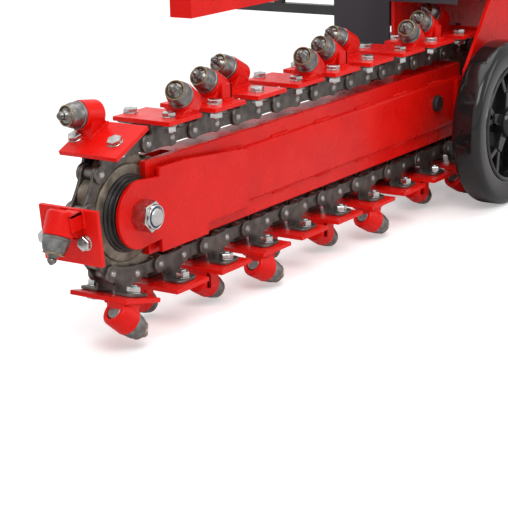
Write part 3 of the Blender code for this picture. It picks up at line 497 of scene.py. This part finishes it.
def plate_mesh(kind):
    """Cutter plate with its holder, the gusset under it, and the weld beads."""
    bm = bmesh.new()
    block(bm, (-0.042, -0.038, TAB_TOP + GAP), (0.030, 0.054, PLATE_TOP))
    axis, rear, y = holder_axis(kind), holder_rear(kind), SIDE[kind]
    frame_at = along(rear, rear + axis)
    length = HOLDER_LENGTH
    lathe(bm, [(0.0115, 0.007), (0.0115, 0), (0.0160, 0), (0.0186, 0.0022), (HOLDER_R, 0.006),
               (HOLDER_R, length - 0.0012), (HOLDER_R - 0.0012, length), (0.0150, length),
               (0.0150, length - 0.004)], frame_at, 36)
    ring = []
    for at in (0.006, length * 0.72):
        for i in range(16):
            angle = 2 * math.pi * i / 16
            point = frame_at @ Vector((0.0176 * math.cos(angle), 0.0176 * math.sin(angle), at))
            if point.z < rear.z + axis.z * at + 0.004 and point.z > PLATE_TOP:
                ring.append(point)
    foot = [Vector((x, y + side * 0.0145, PLATE_TOP - 0.0008)) for x in (-0.040, -0.003)
            for side in (1, -1)]
    hull(bm, ring + foot)
    for side in (1, -1):
        bead(bm, (-0.039, y + side * 0.0148, PLATE_TOP + 0.0004),
             (-0.004, y + side * 0.0148, PLATE_TOP + 0.0004))
    bead(bm, (-0.0022, y - 0.013, PLATE_TOP + 0.0004), (-0.0022, y + 0.013, PLATE_TOP + 0.0004))
    if kind == "middle":
        block(bm, (-0.041, 0.0275, PLATE_TOP - 0.0005), (-0.019, 0.0315, PLATE_TOP + 0.022))
        block(bm, (-0.041, 0.010, PLATE_TOP - 0.0005), (-0.037, 0.0315, PLATE_TOP + 0.022))
        bead(bm, (-0.040, 0.0332, PLATE_TOP + 0.0004), (-0.020, 0.0332, PLATE_TOP + 0.0004))
    return bm


def tooth_mesh(kind):
    """Bullet tooth: collar, tapering body, bronze-edged cup and carbide point; its shank's end."""
    bm = bmesh.new()
    axis = holder_axis(kind)
    mouth = holder_rear(kind) + axis * HOLDER_LENGTH
    mm = 0.001
    body = [(0, -3), (14.6, -3), (14.6, 0.2), (17.6, 0.4), (18.0, 1.0), (18.0, 3.0), (17.5, 3.6),
            (16.9, 4.0), (17.0, 8.0), (16.5, 11.5), (15.6, 15.0), (14.3, 18.2), (13.3, 20.0),
            (13.3, 20.6), (13.7, 21.0), (13.7, 22.0), (13.2, 22.5), (12.2, 22.6), (11.4, 21.4),
            (11.2, 20.8), (9.4, 22.6), (7.6, 23.8), (6.8, 25.0), (5.6, 26.2), (5.2, 27.4),
            (6.0, 28.8), (6.1, 30.2), (4.9, 32.4), (2.8, 34.6), (1.0, 35.8), (0, 36.0)]
    kinds = [0] * 13 + [1] * 5 + [2] * (len(body) - 19)
    lathe(bm, [(r * mm, s * mm) for r, s in body], along(mouth, mouth + axis), 36, kinds)
    rear = holder_rear(kind)
    drum(bm, 0.0108, rear + axis * 0.001, rear + axis * 0.012, 28, 0.0014)
    return bm


def make_cutters():
    order = ("near", "far", "middle")
    meshes = {}
    for kind in order:
        for label, build, finishes, bevel in (("plate", plate_mesh, [RED], 0.0006),
                                              ("tooth", tooth_mesh, [TOOTH, BRONZE, CARBIDE], 0.0)):
            first = piece("pattern", build(kind), finishes, "boom", bevel=bevel)
            meshes[kind, label] = (first.data, bevel)
            bpy.data.objects.remove(first)
    for turn in range(3):
        first = piece("pattern", bolt_mesh(0.35 + turn * 0.6), [ZINC], "boom", bevel=0.0)
        meshes["bolts", turn] = (first.data, 0.0)
        bpy.data.objects.remove(first)
    for i in range(LOOP // 2):
        kind = order[(i + 1) % 3]
        place = link_frame(2 * i + 1)
        label = "%02d" % (i + 1)
        data, bevel = meshes[kind, "plate"]
        show("cutter_plate_" + label, data, "boom", place, bevel, ["cutter_" + label])
        show("bullet_tooth_" + label, meshes[kind, "tooth"][0], "boom", place)
        show("cutter_bolts_" + label, meshes["bolts", i % 3][0], "boom", place)


# ---- boom -------------------------------------------------------------------------------------------
def upright(y):
    """Frame whose x-y plane is the world's x-z plane, at the world's y; its z axis points to -Y."""
    return Matrix(((1, 0, 0, 0), (0, 0, -1, y), (0, 1, 0, 0), (0, 0, 0, 1)))


def make_beam():
    bm = bmesh.new()
    start, end = NOSE_X + 0.045, PIVOT.x - 0.060
    half_w, half_h, corner = 0.026, 0.040, 0.006
    section = []
    for cy, cz, first in ((1, 1, 0), (-1, 1, 90), (-1, -1, 180), (1, -1, 270)):
        section += curve_of((cy * (half_w - corner), cz * (half_h - corner)), corner,
                            first, first + 90, 4)
    across = Matrix(((0, 0, 1, 0), (1, 0, 0, MID_Y), (0, 1, 0, AXIS_Z), (0, 0, 0, 1)))
    slab(bm, section, start, end, across)
    rail = [(0.020, 0.038), (0.020, 0.0605), (0.0185, 0.062), (-0.0185, 0.062), (-0.020, 0.0605),
            (-0.020, 0.038)]
    slab(bm, rail, NOSE_X + 0.100, end, across)
    slab(bm, [(y, -z) for y, z in rail], NOSE_X + 0.100, end, across)
    for side in (1, -1):
        for z in (1, -1):
            inner, outer = sorted((side * 0.0092, side * 0.020))
            block(bm, (NOSE_X + 0.029, MID_Y + inner, AXIS_Z + min(z * 0.038, z * 0.062)),
                  (NOSE_X + 0.101, MID_Y + outer, AXIS_Z + max(z * 0.038, z * 0.062)))
        outline = [*curve_of((PIVOT.x, AXIS_Z), 0.045, -80, 80, 16), (PIVOT.x - 0.09, AXIS_Z + 0.036),
                   (PIVOT.x - 0.09, AXIS_Z - 0.036)]
        inner, outer = sorted((-side * 0.0255, -side * 0.032))
        slab(bm, outline, inner, outer, upright(MID_Y))
        for k in range(6):
            x = NOSE_X + 0.205 + k * 0.118
            bead(bm, (x, MID_Y + side * 0.0205, AXIS_Z + 0.0405),
                 (x + 0.040, MID_Y + side * 0.0205, AXIS_Z + 0.0405), 0.0026)
            bead(bm, (x, MID_Y + side * 0.0205, AXIS_Z - 0.0405),
                 (x + 0.040, MID_Y + side * 0.0205, AXIS_Z - 0.0405), 0.0026)
        bead(bm, (NOSE_X + 0.247, MID_Y + side * 0.0262, AXIS_Z - 0.040),
             (NOSE_X + 0.247, MID_Y + side * 0.0262, AXIS_Z + 0.036), 0.0016)
    piece("boom_tube", bm, [RED], "boom", bevel=0.0008, stands_for=["boom_beam"])
    bm = bmesh.new()
    drum(bm, 0.0135, (NOSE_X + 0.810, MID_Y - 0.024, AXIS_Z + 0.007),
         (NOSE_X + 0.810, MID_Y - 0.034, AXIS_Z + 0.007), 40, 0.0020)
    piece("beam_boss", bm, [BLACK], "boom", bevel=0.0)


def make_nose():
    x, z = NOSE_X, AXIS_Z
    for name, side in (("near", 1), ("far", -1)):
        bm = bmesh.new()
        outline = [(x + 0.0425, z - 0.042), (x + 0.0425, z - 0.060), (x + 0.147, z - 0.060),
                   (x + 0.147, z - 0.044), (x + 0.245, z - 0.044), (x + 0.245, z + 0.040),
                   (x + 0.098, z + 0.053), (x + 0.0425, z + 0.053), (x + 0.0425, z + 0.041),
                   *curve_of((x, z), 0.045, 80, 280, 28)]
        inner, outer = sorted((side * 0.0263, side * 0.0323))
        slab(bm, outline, inner, outer, upright(MID_Y))
        piece("nose_cheek_" + name, bm, [RED], "boom", bevel=0.0010,
              stands_for=["nose_plate_" + name])
    bm = bmesh.new()
    face = 0.0326

    def at(y):
        return Vector((x, MID_Y - y, z))

    hexagon(bm, 0.036 / math.sqrt(3), at(face - 0.0002), at(face + 0.0218), 0.25)
    lathe(bm, [(0.0165, 0), (0.0165, 0.0030), (0.0158, 0.0042), (0.0150, 0.0046), (0.0140, 0.0042),
               (0.0140, 0.0010)], along(at(face + 0.0208), at(face + 0.03)), 40)
    lathe(bm, [(0.0140, 0.0), (0.0140, 0.0034), (0.0124, 0.0036), (0.0124, 0.0)],
          along(at(face + 0.0208), at(face + 0.03)), 40, index=1)
    drum(bm, 0.0120, at(face + 0.010), at(face + 0.0275), 32, 0.0016)
    piece("nose_lock_nut", bm, [ZINC, BLUE], "boom", bevel=0.0003,
          stands_for=["nose_nut", "nose_bolt"])
    bm = bmesh.new()
    hexagon(bm, 0.036 / math.sqrt(3), at(-face), at(-face - 0.015), 0.1)
    drum(bm, 0.0120, at(-face + 0.002), at(face + 0.002), 32, 0.0008)
    piece("nose_bolt_head", bm, [ZINC], "boom", bevel=0.0003)


def sprocket_outline(cx, first):
    """A seat for each roller and a tooth between two seats."""
    made = []
    step = 360 / TEETH
    for i in range(TEETH):
        angle = first + i * step
        seat = (cx + SPROCKET_R * math.cos(math.radians(angle)),
                AXIS_Z + SPROCKET_R * math.sin(math.radians(angle)))
        made += curve_of(seat, 0.0087, angle - 95, angle - 265, 10)
        for spread_by in (-0.09, -0.03, 0.03, 0.09):
            around = math.radians(angle + step / 2) + spread_by
            top = SPROCKET_R + (0.0042 if abs(spread_by) < 0.05 else 0.003)
            made.append((cx + top * math.cos(around), AXIS_Z + top * math.sin(around)))
    return made


def make_sprockets():
    bm = bmesh.new()
    slab(bm, sprocket_outline(NOSE_X, 90 + 36 * PHASE), -0.0073, 0.0073, upright(MID_Y))
    for side in (1, -1):
        here = along((NOSE_X, MID_Y - side * 0.0070, AXIS_Z), (NOSE_X, MID_Y - side * 0.03, AXIS_Z))
        lathe(bm, [(0, 0), (0.0640, 0), (0.0640, 0.0024), (0.0625, 0.0036), (0.0600, 0.0040),
                   (0, 0.0040)], here, 56)
        lathe(bm, [(0, 0.0038), (0.0510, 0.0038), (0.0515, 0.0060), (0.0500, 0.0072),
                   (0.0485, 0.0072), (0.0480, 0.0110), (0.0465, 0.0122), (0.0450, 0.0110),
                   (0.0445, 0.0165), (0, 0.0165)], here, 56, index=1)
    piece("nose_wheel_sprocket", bm, [CAST, SEAL], "boom", bevel=0.0008,
          stands_for=["nose_sprocket"])
    bm = bmesh.new()
    slab(bm, sprocket_outline(PIVOT.x, -90 + 36 * PHASE), -0.0073, 0.0073, upright(MID_Y))
    for side in (1, -1):
        here = along((PIVOT.x, MID_Y - side * 0.007, AXIS_Z), (PIVOT.x, MID_Y - side * 0.03, AXIS_Z))
        lathe(bm, [(0, 0), (0.036, 0), (0.034, 0.003), (0.034, 0.0135), (0.032, 0.0140), (0, 0.0140)],
              here, 40)
    piece("drive_wheel_sprocket", bm, [CAST], "boom", bevel=0.0008,
          stands_for=["drive_sprocket"])
    keep("depth_quadrant", RED, 0.0008)
    keep("drive_shaft", PIN, 0.0008)


# ---- wheels -----------------------------------------------------------------------------------------
def make_wheel(label, side):
    """Smooth tyre, rim with forked spokes, and the hub; side is 1 where the outside is at -Y."""
    body = "wheel_" + label
    low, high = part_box("tyre_" + label)
    inner, outer = (high.y, low.y) if side > 0 else (low.y, high.y)
    centre = (low + high) / 2
    width, radius = high.y - low.y, (high.z - low.z) / 2
    place = along((centre.x, inner, centre.z), (centre.x, outer, centre.z))
    bm = bmesh.new()
    shoulder = 0.013
    profile = [(0.0985, 0.004), (0.106, 0.0010), (radius - shoulder, 0.0006)]
    profile += [(radius - shoulder + shoulder * math.sin(a), 0.0006 + shoulder * (1 - math.cos(a)))
                for a in [math.radians(d) for d in range(10, 91, 10)]]
    profile += [(radius, width / 2)]
    profile += [(r, width - h) for r, h in reversed(profile[:-1])]
    lathe(bm, profile + [(0.0985, width - 0.004), (0.0985, 0.004)], place, 96)
    bmesh.ops.remove_doubles(bm, verts=bm.verts, dist=0.00001)
    piece("tyre_tread_" + label, bm, [TYRE], body, bevel=0.0,
          stands_for=["tyre_" + label])
    bm = bmesh.new()
    lathe(bm, [(0.098, 0.003), (0.098, width - 0.003), (0.0955, width - 0.0015),
               (0.0925, width - 0.0015), (0.0905, width - 0.005), (0.0885, width - 0.016),
               (0.0870, width - 0.018), (0.0860, 0.012), (0.090, 0.003), (0.098, 0.003)], place, 96)
    lathe(bm, [(0.0105, 0.002), (0.0240, 0.002), (0.0270, 0.010), (0.0270, width - 0.012),
               (0.0250, width - 0.004), (0.0225, width - 0.001), (0.0105, width - 0.001),
               (0.0105, 0.002)], place, 48)
    lathe(bm, [(0.026, width * 0.36), (0.087, width * 0.30), (0.087, width * 0.38),
               (0.026, width * 0.46), (0.026, width * 0.36)], place, 64)
    for i in range(5):
        turn = place @ Matrix.Rotation(math.radians(72 * i + 18), 4, "Z")
        top, low_face = width - 0.012, width * 0.40
        stem = [(0.022, -0.0105), (0.052, -0.0075), (0.052, 0.0075), (0.022, 0.0105)]
        slab(bm, stem, low_face, top, turn)
        for way in (1, -1):
            fork = [(0.045, way * -0.0035), (0.0895, way * 0.0190), (0.0880, way * 0.0290),
                    (0.049, way * 0.0080)]
            slab(bm, fork, low_face, top - 0.003, turn)
            web = [(0.055, way * 0.0005), (0.0885, way * 0.0045), (0.0885, way * 0.0075),
                   (0.055, way * 0.0035)]
            slab(bm, web, width * 0.36, width * 0.50, turn)
    bmesh.ops.remove_doubles(bm, verts=bm.verts, dist=0.00001)
    piece("rim_spokes_" + label, bm, [GLOSS], body, bevel=0.0011,
          stands_for=["rim_" + label])
    keep("stub_axle_" + label, ZINC, 0.0006)


# ---- chassis ------------------------------------------------------------------------------------------
def bolt_at(bm, place, outward, radius=HEX_10, height=0.0064, index=0):
    """A washer and a hexagonal head standing on a face."""
    place, outward = Vector(place), Vector(outward).normalized()
    drum(bm, radius * 1.12, place - outward * 0.0003, place + outward * 0.0014, 24, 0.0003, index)
    hexagon(bm, radius, place + outward * 0.0012, place + outward * height, 0.4, index)


def make_chassis():
    for node in ("side_plate_near", "side_plate_far", "chain_hood", "guard_bar", "rear_tube"):
        keep(node, RED, 0.0012)
    for node in ("engine_deck", "flap_frame", "drive_case"):
        keep(node, BLACK, 0.0014)
    keep("debris_flap", FLAP, 0.0007)
    keep("depth_clamp", ZINC, 0.0004)
    bolts = bmesh.new()
    low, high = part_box("chain_hood")
    for x in (low.x + 0.03, (low.x + high.x) / 2, high.x - 0.03):
        for y in (low.y + 0.012, high.y - 0.012):
            bolt_at(bolts, (x, y, high.z), (0, 0, 1))
    deck_low, deck_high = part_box("engine_deck")
    for x in (deck_low.x + 0.02, deck_high.x - 0.045):
        for y in (deck_low.y + 0.015, deck_high.y - 0.015):
            bolt_at(bolts, (x, y, deck_high.z), (0, 0, 1))
    piece("chassis_bolts", bolts, [ZINC], "chassis", bevel=0.0)
    case = bmesh.new()
    low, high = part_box("drive_case")
    pulley = Vector((PIVOT.x, high.y, AXIS_Z))
    crank = Vector((middle("recoil_cover").x, high.y, high.z - 0.042))
    run = (crank - pulley).normalized()
    for spot in (pulley, crank):
        lathe(case, [(0, -0.001), (0.030, -0.001), (0.028, 0.002), (0, 0.002)],
              along(spot, spot + Vector((0, 1, 0))), 40, index=0)
    across = Vector((-run.z, 0, run.x))
    for spot, reach in ((pulley, 0.040), (pulley + (crank - pulley) / 2, 0.037), (crank, 0.033)):
        for side in (1, -1):
            bolt_at(case, spot + across * side * reach, (0, 1, 0), 0.0058, 0.0046, 1)
    piece("drive_case_cover", case, [BLACK, ZINC], "chassis", bevel=0.0006)


# ---- engine --------------------------------------------------------------------------------------------
def make_engine():
    low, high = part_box("engine_block")
    cover_low, cover_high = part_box("recoil_cover")
    cx = (cover_low.x + cover_high.x) / 2
    front, back = cover_high.y, cover_high.y + 0.150
    mid_y = (front + back) / 2
    base = low.z
    bm = bmesh.new()
    block(bm, (cx - 0.105, mid_y - 0.060, base), (cx + 0.115, mid_y + 0.060, base + 0.012))
    block(bm, (cx - 0.082, front + 0.004, base + 0.010), (cx + 0.092, back - 0.004, base + 0.112))
    drum(bm, 0.064, (cx, back - 0.012, base + 0.108), (cx, back - 0.0005, base + 0.108), 48, 0.003)
    for k in range(9):
        z = base + 0.112 + k * 0.0100
        block(bm, (cx - 0.088, front + 0.003, z), (cx + 0.086, back - 0.003, z + 0.0032))
    block(bm, (cx - 0.066, front + 0.020, base + 0.100), (cx + 0.068, back - 0.020, base + 0.1995))
    for k in range(8):
        x = cx - 0.152 + k * 0.0090
        block(bm, (x, mid_y - 0.052, base + 0.078), (x + 0.0030, mid_y + 0.052, base + 0.188))
    block(bm, (cx - 0.146, mid_y - 0.036, base + 0.090), (cx - 0.070, mid_y + 0.036, base + 0.176))
    drum(bm, 0.0127, (cx, back - 0.002, base + 0.1077), (cx, high.y, base + 0.1077), 24, 0.0008)
    for dx in (-0.090, 0.100):
        for dy in (-0.045, 0.045):
            bolt_at(bm, (cx + dx, mid_y + dy, base + 0.012), (0, 0, 1), 0.0075, 0.0060, 1)
    for k in range(8):
        angle = math.radians(45 * k + 22)
        bolt_at(bm, (cx + 0.054 * math.cos(angle), back - 0.0008, base + 0.108 + 0.054 * math.sin(angle)),
                (0, 1, 0), 0.0048, 0.0030, 1)
    piece("engine_casting", bm, [ALLOY, ZINC], "chassis", bevel=0.0010,
          stands_for=["engine_block"])
    bm = bmesh.new()
    block(bm, (cx + 0.098, mid_y - 0.054, base + 0.086), (cx + 0.174, mid_y + 0.054, base + 0.199))
    for k in range(7):
        y = mid_y - 0.039 + k * 0.013
        block(bm, (cx + 0.1735, y - 0.0028, base + 0.104), (cx + 0.1752, y + 0.0028, base + 0.168))
    drum(bm, 0.010, (cx + 0.170, mid_y, base + 0.184), (cx + 0.1755, mid_y, base + 0.184), 24, 0.0012)
    piece("air_cleaner", bm, [PLASTIC], "chassis", bevel=0.0060)
    bm = bmesh.new()
    z = base + 0.1077
    depth = cover_high.y - cover_low.y
    face = along((cx, cover_high.y, z), (cx, cover_low.y, z))
    shell_depth = 0.055
    lathe(bm, [(0, 0), (0.1000, 0), (0.1000, 0.020), (0.0985, 0.024), (0.0960, 0.026),
               (0.0930, 0.044), (0.0880, 0.051), (0.0820, shell_depth - 0.0005),
               (0.0660, shell_depth - 0.0005), (0.0640, shell_depth - 0.004),
               (0.0400, shell_depth - 0.004), (0.0380, shell_depth), (0.0200, shell_depth),
               (0.0180, shell_depth - 0.002), (0, shell_depth - 0.002)], face, 72)
    for k in range(20):
        turn = face @ Matrix.Rotation(math.radians(18 * k), 4, "Z")
        block(bm, (0.042, -0.0022, shell_depth - 0.005), (0.0635, 0.0022, shell_depth - 0.0012), turn)
    for k in range(3):
        angle = math.radians(120 * k + 30)
        spot = face @ Vector((0.0925 * math.cos(angle), 0.0925 * math.sin(angle), 0.045))
        bolt_at(bm, spot, (0, -1, 0), 0.0055, 0.0060, 1)
    grip_mid = middle("starter_grip")
    guide = Vector((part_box("starter_grip")[0].x - 0.0005, grip_mid.y, grip_mid.z))
    guide.y = cover_high.y - 0.028
    lathe(bm, [(0, -0.034), (0.0085, -0.034), (0.0085, -0.006), (0.0070, -0.002), (0.0070, 0),
               (0.0040, 0), (0, 0)], along(guide, guide + Vector((1, 0, 0))), 28)
    piece("recoil_shroud", bm, [PLASTIC, ZINC], "chassis", bevel=0.0008,
          stands_for=["recoil_cover"])
    low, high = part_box("starter_grip")
    bm = bmesh.new()
    mid = (low + high) / 2
    path = along((mid.x, low.y, mid.z), (mid.x, high.y, mid.z))
    long = high.y - low.y
    lathe(bm, [(0, 0), (0.005, 0.0003), (0.0082, 0.004), (0.0088, 0.010), (0.0078, long * 0.35),
               (0.0086, long * 0.5), (0.0078, long * 0.65), (0.0088, long - 0.010),
               (0.0082, long - 0.004), (0.005, long - 0.0003), (0, long)], path, 28)
    drum(bm, 0.0055, (low.x, cover_high.y - 0.028, mid.z), (mid.x, cover_high.y - 0.028, mid.z), 20, 0.0006)
    piece("starter_handle", bm, [PLASTIC], "starter", bevel=0.0,
          stands_for=["starter_grip"])
    low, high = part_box("fuel_tank")
    bm = bmesh.new()
    block(bm, (low.x, low.y, base + 0.2155), high)
    made = piece("fuel_tank_shell", bm, [surface("tank_red", [(0.35, (0.66, 0.006, 0.004)),
                 (0.65, (0.76, 0.010, 0.006))], (0.16, 0.24), scale=12, grain=240, depth=0.00005,
                 coat=0.5)], "chassis", bevel=0.026, stands_for=["fuel_tank"], angle=60)
    made.modifiers["edges"].segments = 6
    bm = bmesh.new()
    for dx in (-0.075, 0.060):
        block(bm, (cx + dx, mid_y - 0.060, base + 0.2002), (cx + dx + 0.020, mid_y + 0.060, base + 0.2175))
    seam = base + 0.2155 + (high.z - base - 0.2155) * 0.5
    block(bm, (low.x + 0.0275, low.y - 0.0, seam - 0.0022), (high.x - 0.0275, low.y + 0.006, seam + 0.0022))
    piece("tank_brackets", bm, [BLACK], "chassis", bevel=0.0008)
    low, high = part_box("fuel_cap")
    spot = middle("fuel_cap")
    bm = bmesh.new()
    tall = high.z - low.z
    place = along((spot.x, spot.y, low.z), (spot.x, spot.y, high.z))
    lathe(bm, [(0, 0), (0.0230, 0), (0.0230, 0.002), (0.0245, 0.003), (0.0245, tall - 0.0035),
               (0.0225, tall - 0.0006), (0.0140, tall), (0, tall)], place, 48)
    for k in range(18):
        turn = place @ Matrix.Rotation(math.radians(20 * k), 4, "Z")
        block(bm, (0.0236, -0.0016, 0.0032), (0.0266, 0.0016, tall - 0.0040), turn)
    piece("fuel_cap_knurled", bm, [PLASTIC], "cap", bevel=0.0005,
          stands_for=["fuel_cap"])
    low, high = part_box("muffler")
    bm = bmesh.new()
    block(bm, (low.x + 0.001, low.y, low.z + 0.001), (high.x - 0.001, high.y - 0.002, high.z - 0.001))
    for row in range(5):
        for column in range(8):
            spot = Vector((low.x + 0.016 + column * 0.0112, high.y - 0.0022, low.z + 0.014 + row * 0.0118))
            lathe(bm, [(0, 0), (0.0042, 0), (0.0038, 0.0014), (0.0028, 0.0010), (0, 0.0004)],
                  along(spot, spot + Vector((0, 1, 0))), 16, index=1)
    piece("muffler_shield", bm, [HEAT, BLACK], "chassis", bevel=0.0040,
          stands_for=["muffler"])


# ---- handle, controls and stand ------------------------------------------------------------------------
def make_handle():
    low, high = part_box("handlebar")
    tube = 0.014
    lever_pivot = Vector(next(j for j in frame["joints"] if j["name"] == "clutch_squeeze")["pos_m"])
    throttle_pivot = Vector(next(j for j in frame["joints"] if j["name"] == "throttle_turn")["pos_m"])
    bar_x = throttle_pivot.x
    bar_z = throttle_pivot.z - 0.009 - 0.0003 - tube * math.cos(math.pi / 8)
    half = (high.y - low.y) / 2 - tube
    tube_low, tube_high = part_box("rear_tube")
    base_x = tube_high.x + 0.002 + tube
    base_z = tube_high.z - 0.020
    arm = (tube_high.y - tube_low.y) / 2 - 0.020
    near = [(base_x, -arm, base_z - 0.015), (base_x, -arm, base_z + 0.08),
            (bar_x - 0.12, -half, bar_z - 0.04), (bar_x - 0.03, -half, bar_z - 0.006),
            (bar_x, -half + 0.03, bar_z)]
    path = near + [(x, -y, z) for x, y, z in reversed(near)]
    pipe("handlebar_tube", [(x, y + MID_Y, z) for x, y, z in path], tube, BLACK, "chassis",
         0.03, ["handlebar"])
    bm = bmesh.new()
    for side in (1, -1):
        y0, y1 = MID_Y + side * 0.09, MID_Y + side * 0.20
        place = along((bar_x, y0, bar_z), (bar_x, y1, bar_z))
        profile = [(0.0138, 0), (0.0176, 0), (0.018, 0.0012)]
        for k in range(17):
            s = 0.005 + k * 0.006
            profile += [(0.0180, s), (0.0180, s + 0.0034), (0.0166, s + 0.0040), (0.0166, s + 0.0054)]
        profile += [(0.018, 0.1085), (0.0176, 0.11), (0.0138, 0.11)]
        lathe(bm, profile, place, 36)
    piece("grip_sleeves", bm, [GRIP], "chassis", bevel=0.0)
    bm = bmesh.new()
    for side in (1, -1):
        y = MID_Y + side * arm
        block(bm, (tube_high.x + 0.0003, y - 0.012, base_z - 0.018),
              (base_x + 0.002, y + 0.012, base_z + 0.018))
        for dz in (-0.008, 0.010):
            bolt_at(bm, (base_x + tube - 0.001, y, base_z + dz), (1, 0, 0), 0.0075, 0.0055, 1)
        y_out = lever_pivot.y + side * half
        y_in = lever_pivot.y + side * (half - tube - 0.012 + 0.0065)
        drum(bm, 0.008, (lever_pivot.x, y_in, lever_pivot.z), (lever_pivot.x, y_out, lever_pivot.z), 28)
    piece("handle_brackets", bm, [BLACK, ZINC], "chassis", bevel=0.0008)
    x, z = lever_pivot.x, lever_pivot.z
    inner = half - tube - 0.012
    side_path = [(x, -inner, z), (x + 0.05, -inner + 0.02, z + 0.075), (x + 0.065, -inner + 0.05, z + 0.090)]
    path = side_path + [(px, -py, pz) for px, py, pz in reversed(side_path)]
    pipe("clutch_bail", [(px, py + MID_Y, pz) for px, py, pz in path], 0.006, RED, "clutch",
         0.018, ["clutch_lever"])
    bm = bmesh.new()
    x, y, z = throttle_pivot
    drum(bm, 0.009, (x, y - 0.011, z), (x, y + 0.011, z), 28, 0.0010)
    slab(bm, [(-0.0040, 0), (0.0040, 0), (0.0034, 0.040), (0.0026, 0.0475), (-0.0026, 0.0475),
              (-0.0034, 0.040)], -0.005, 0.005,
         Matrix.Translation((x, y, z)) @ Matrix.Rotation(math.pi / 2, 4, "X"))
    piece("throttle_thumb", bm, [PLASTIC], "throttle", bevel=0.0009,
          stands_for=["throttle_lever"])
    stand_low, stand_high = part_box("parking_stand")
    pivot = Vector(next(j for j in frame["joints"] if j["name"] == "stand_fold")["pos_m"])
    half, foot_x = 0.12, stand_high.x - 0.010
    leg = [(pivot.x, -half, pivot.z), (pivot.x + 0.008, -half, pivot.z - 0.032),
           (foot_x, -half - 0.02, 0.010)]
    path = leg + [(px, -py, pz) for px, py, pz in reversed(leg)]
    pipe("stand_hoop", [(px, py + MID_Y, pz) for px, py, pz in path], 0.010, BLACK, "stand",
         0.02, ["parking_stand"])


# ---- studio -----------------------------------------------------------------------------------------------
def lamp(name, place, target, size, power, colour=(1, 1, 1)):
    data = bpy.data.lights.new(name, "AREA")
    data.shape = "RECTANGLE"
    data.size, data.size_y = size
    data.energy = power
    data.color = colour
    made = bpy.data.objects.new(name, data)
    bpy.context.scene.collection.objects.link(made)
    made.location = place
    made.rotation_euler = (Vector(target) - Vector(place)).to_track_quat("-Z", "Y").to_euler()


def make_studio():
    scene = bpy.context.scene
    scene.view_settings.view_transform = "Standard"
    world = bpy.data.worlds.new("studio")
    scene.world = world
    world.use_nodes = True
    nodes, links = world.node_tree.nodes, world.node_tree.links
    nodes.clear()
    paths = nodes.new("ShaderNodeLightPath")
    first = nodes.new("ShaderNodeMath")
    first.operation = "MAXIMUM"
    links.new(paths.outputs["Is Camera Ray"], first.inputs[0])
    links.new(paths.outputs["Is Glossy Ray"], first.inputs[1])
    both = nodes.new("ShaderNodeMath")
    both.operation = "MAXIMUM"
    links.new(first.outputs[0], both.inputs[0])
    links.new(paths.outputs["Is Transmission Ray"], both.inputs[1])
    plain = nodes.new("ShaderNodeBackground")
    plain.inputs["Strength"].default_value = 0.42
    seen = nodes.new("ShaderNodeBackground")
    seen.inputs["Strength"].default_value = 1.0
    for shade in (plain, seen):
        shade.inputs["Color"].default_value = (1, 1, 1, 1)
    mix = nodes.new("ShaderNodeMixShader")
    links.new(both.outputs[0], mix.inputs["Fac"])
    links.new(plain.outputs[0], mix.inputs[1])
    links.new(seen.outputs[0], mix.inputs[2])
    links.new(mix.outputs[0], nodes.new("ShaderNodeOutputWorld").inputs["Surface"])

    mesh = bpy.data.meshes.new("floor")
    bm = bmesh.new()
    bmesh.ops.create_grid(bm, x_segments=1, y_segments=1, size=40)
    bm.to_mesh(mesh)
    bm.free()
    floor = bpy.data.objects.new("floor", mesh)
    scene.collection.objects.link(floor)
    made = bpy.data.materials.new("floor")
    made.use_nodes = True
    nodes, links = made.node_tree.nodes, made.node_tree.links
    nodes.clear()
    diffuse = nodes.new("ShaderNodeBsdfDiffuse")
    diffuse.inputs["Color"].default_value = (0.86, 0.86, 0.86, 1)
    glow = nodes.new("ShaderNodeEmission")
    paths = nodes.new("ShaderNodeLightPath")
    amount = nodes.new("ShaderNodeMath")
    amount.operation = "MULTIPLY"
    away = nodes.new("ShaderNodeVectorMath")
    away.operation = "LENGTH"
    links.new(nodes.new("ShaderNodeNewGeometry").outputs["Position"], away.inputs[0])
    fade = nodes.new("ShaderNodeMapRange")
    for socket, value in (("From Min", 1.4), ("From Max", 4.5), ("To Min", 0.36), ("To Max", 1.0)):
        fade.inputs[socket].default_value = value
    links.new(away.outputs["Value"], fade.inputs["Value"])
    links.new(fade.outputs["Result"], amount.inputs[1])
    links.new(paths.outputs["Is Camera Ray"], amount.inputs[0])
    links.new(amount.outputs[0], glow.inputs["Strength"])
    both = nodes.new("ShaderNodeAddShader")
    links.new(diffuse.outputs[0], both.inputs[0])
    links.new(glow.outputs[0], both.inputs[1])
    links.new(both.outputs[0], nodes.new("ShaderNodeOutputMaterial").inputs["Surface"])
    mesh.materials.append(made)

    aim = (-0.5, -0.07, 0.2)
    lamp("key", (-2.2, -1.6, 2.6), aim, (1.8, 1.8), 56)
    lamp("overhead", (-0.3, 0.2, 3.0), aim, (3.0, 2.4), 50)
    lamp("side", (1.2, -3.0, 1.3), aim, (1.2, 1.8), 15)

    data = bpy.data.cameras.new("camera")
    data.lens, data.sensor_width = 117.8, 36.0
    data.clip_start, data.clip_end = 0.05, 60
    camera = bpy.data.objects.new("camera", data)
    scene.collection.objects.link(camera)
    back = Vector((-0.7946, -0.5433, 0.2711)).normalized()
    up = Vector((0.2386, 0.1311, 0.9622))
    right = up.cross(back).normalized()
    up = back.cross(right)
    spot = Vector((NOSE_X - 1.6158, MID_Y - 1.3100, AXIS_Z + 0.5229))
    camera.matrix_world = Matrix(((right.x, up.x, back.x, spot.x), (right.y, up.y, back.y, spot.y),
                                  (right.z, up.z, back.z, spot.z), (0, 0, 0, 1)))
    scene.camera = camera


make_studio()
make_chain()
make_cutters()
make_beam()
make_nose()
make_sprockets()
make_wheel("near", 1)
make_wheel("far", -1)
make_chassis()
make_engine()
make_handle()
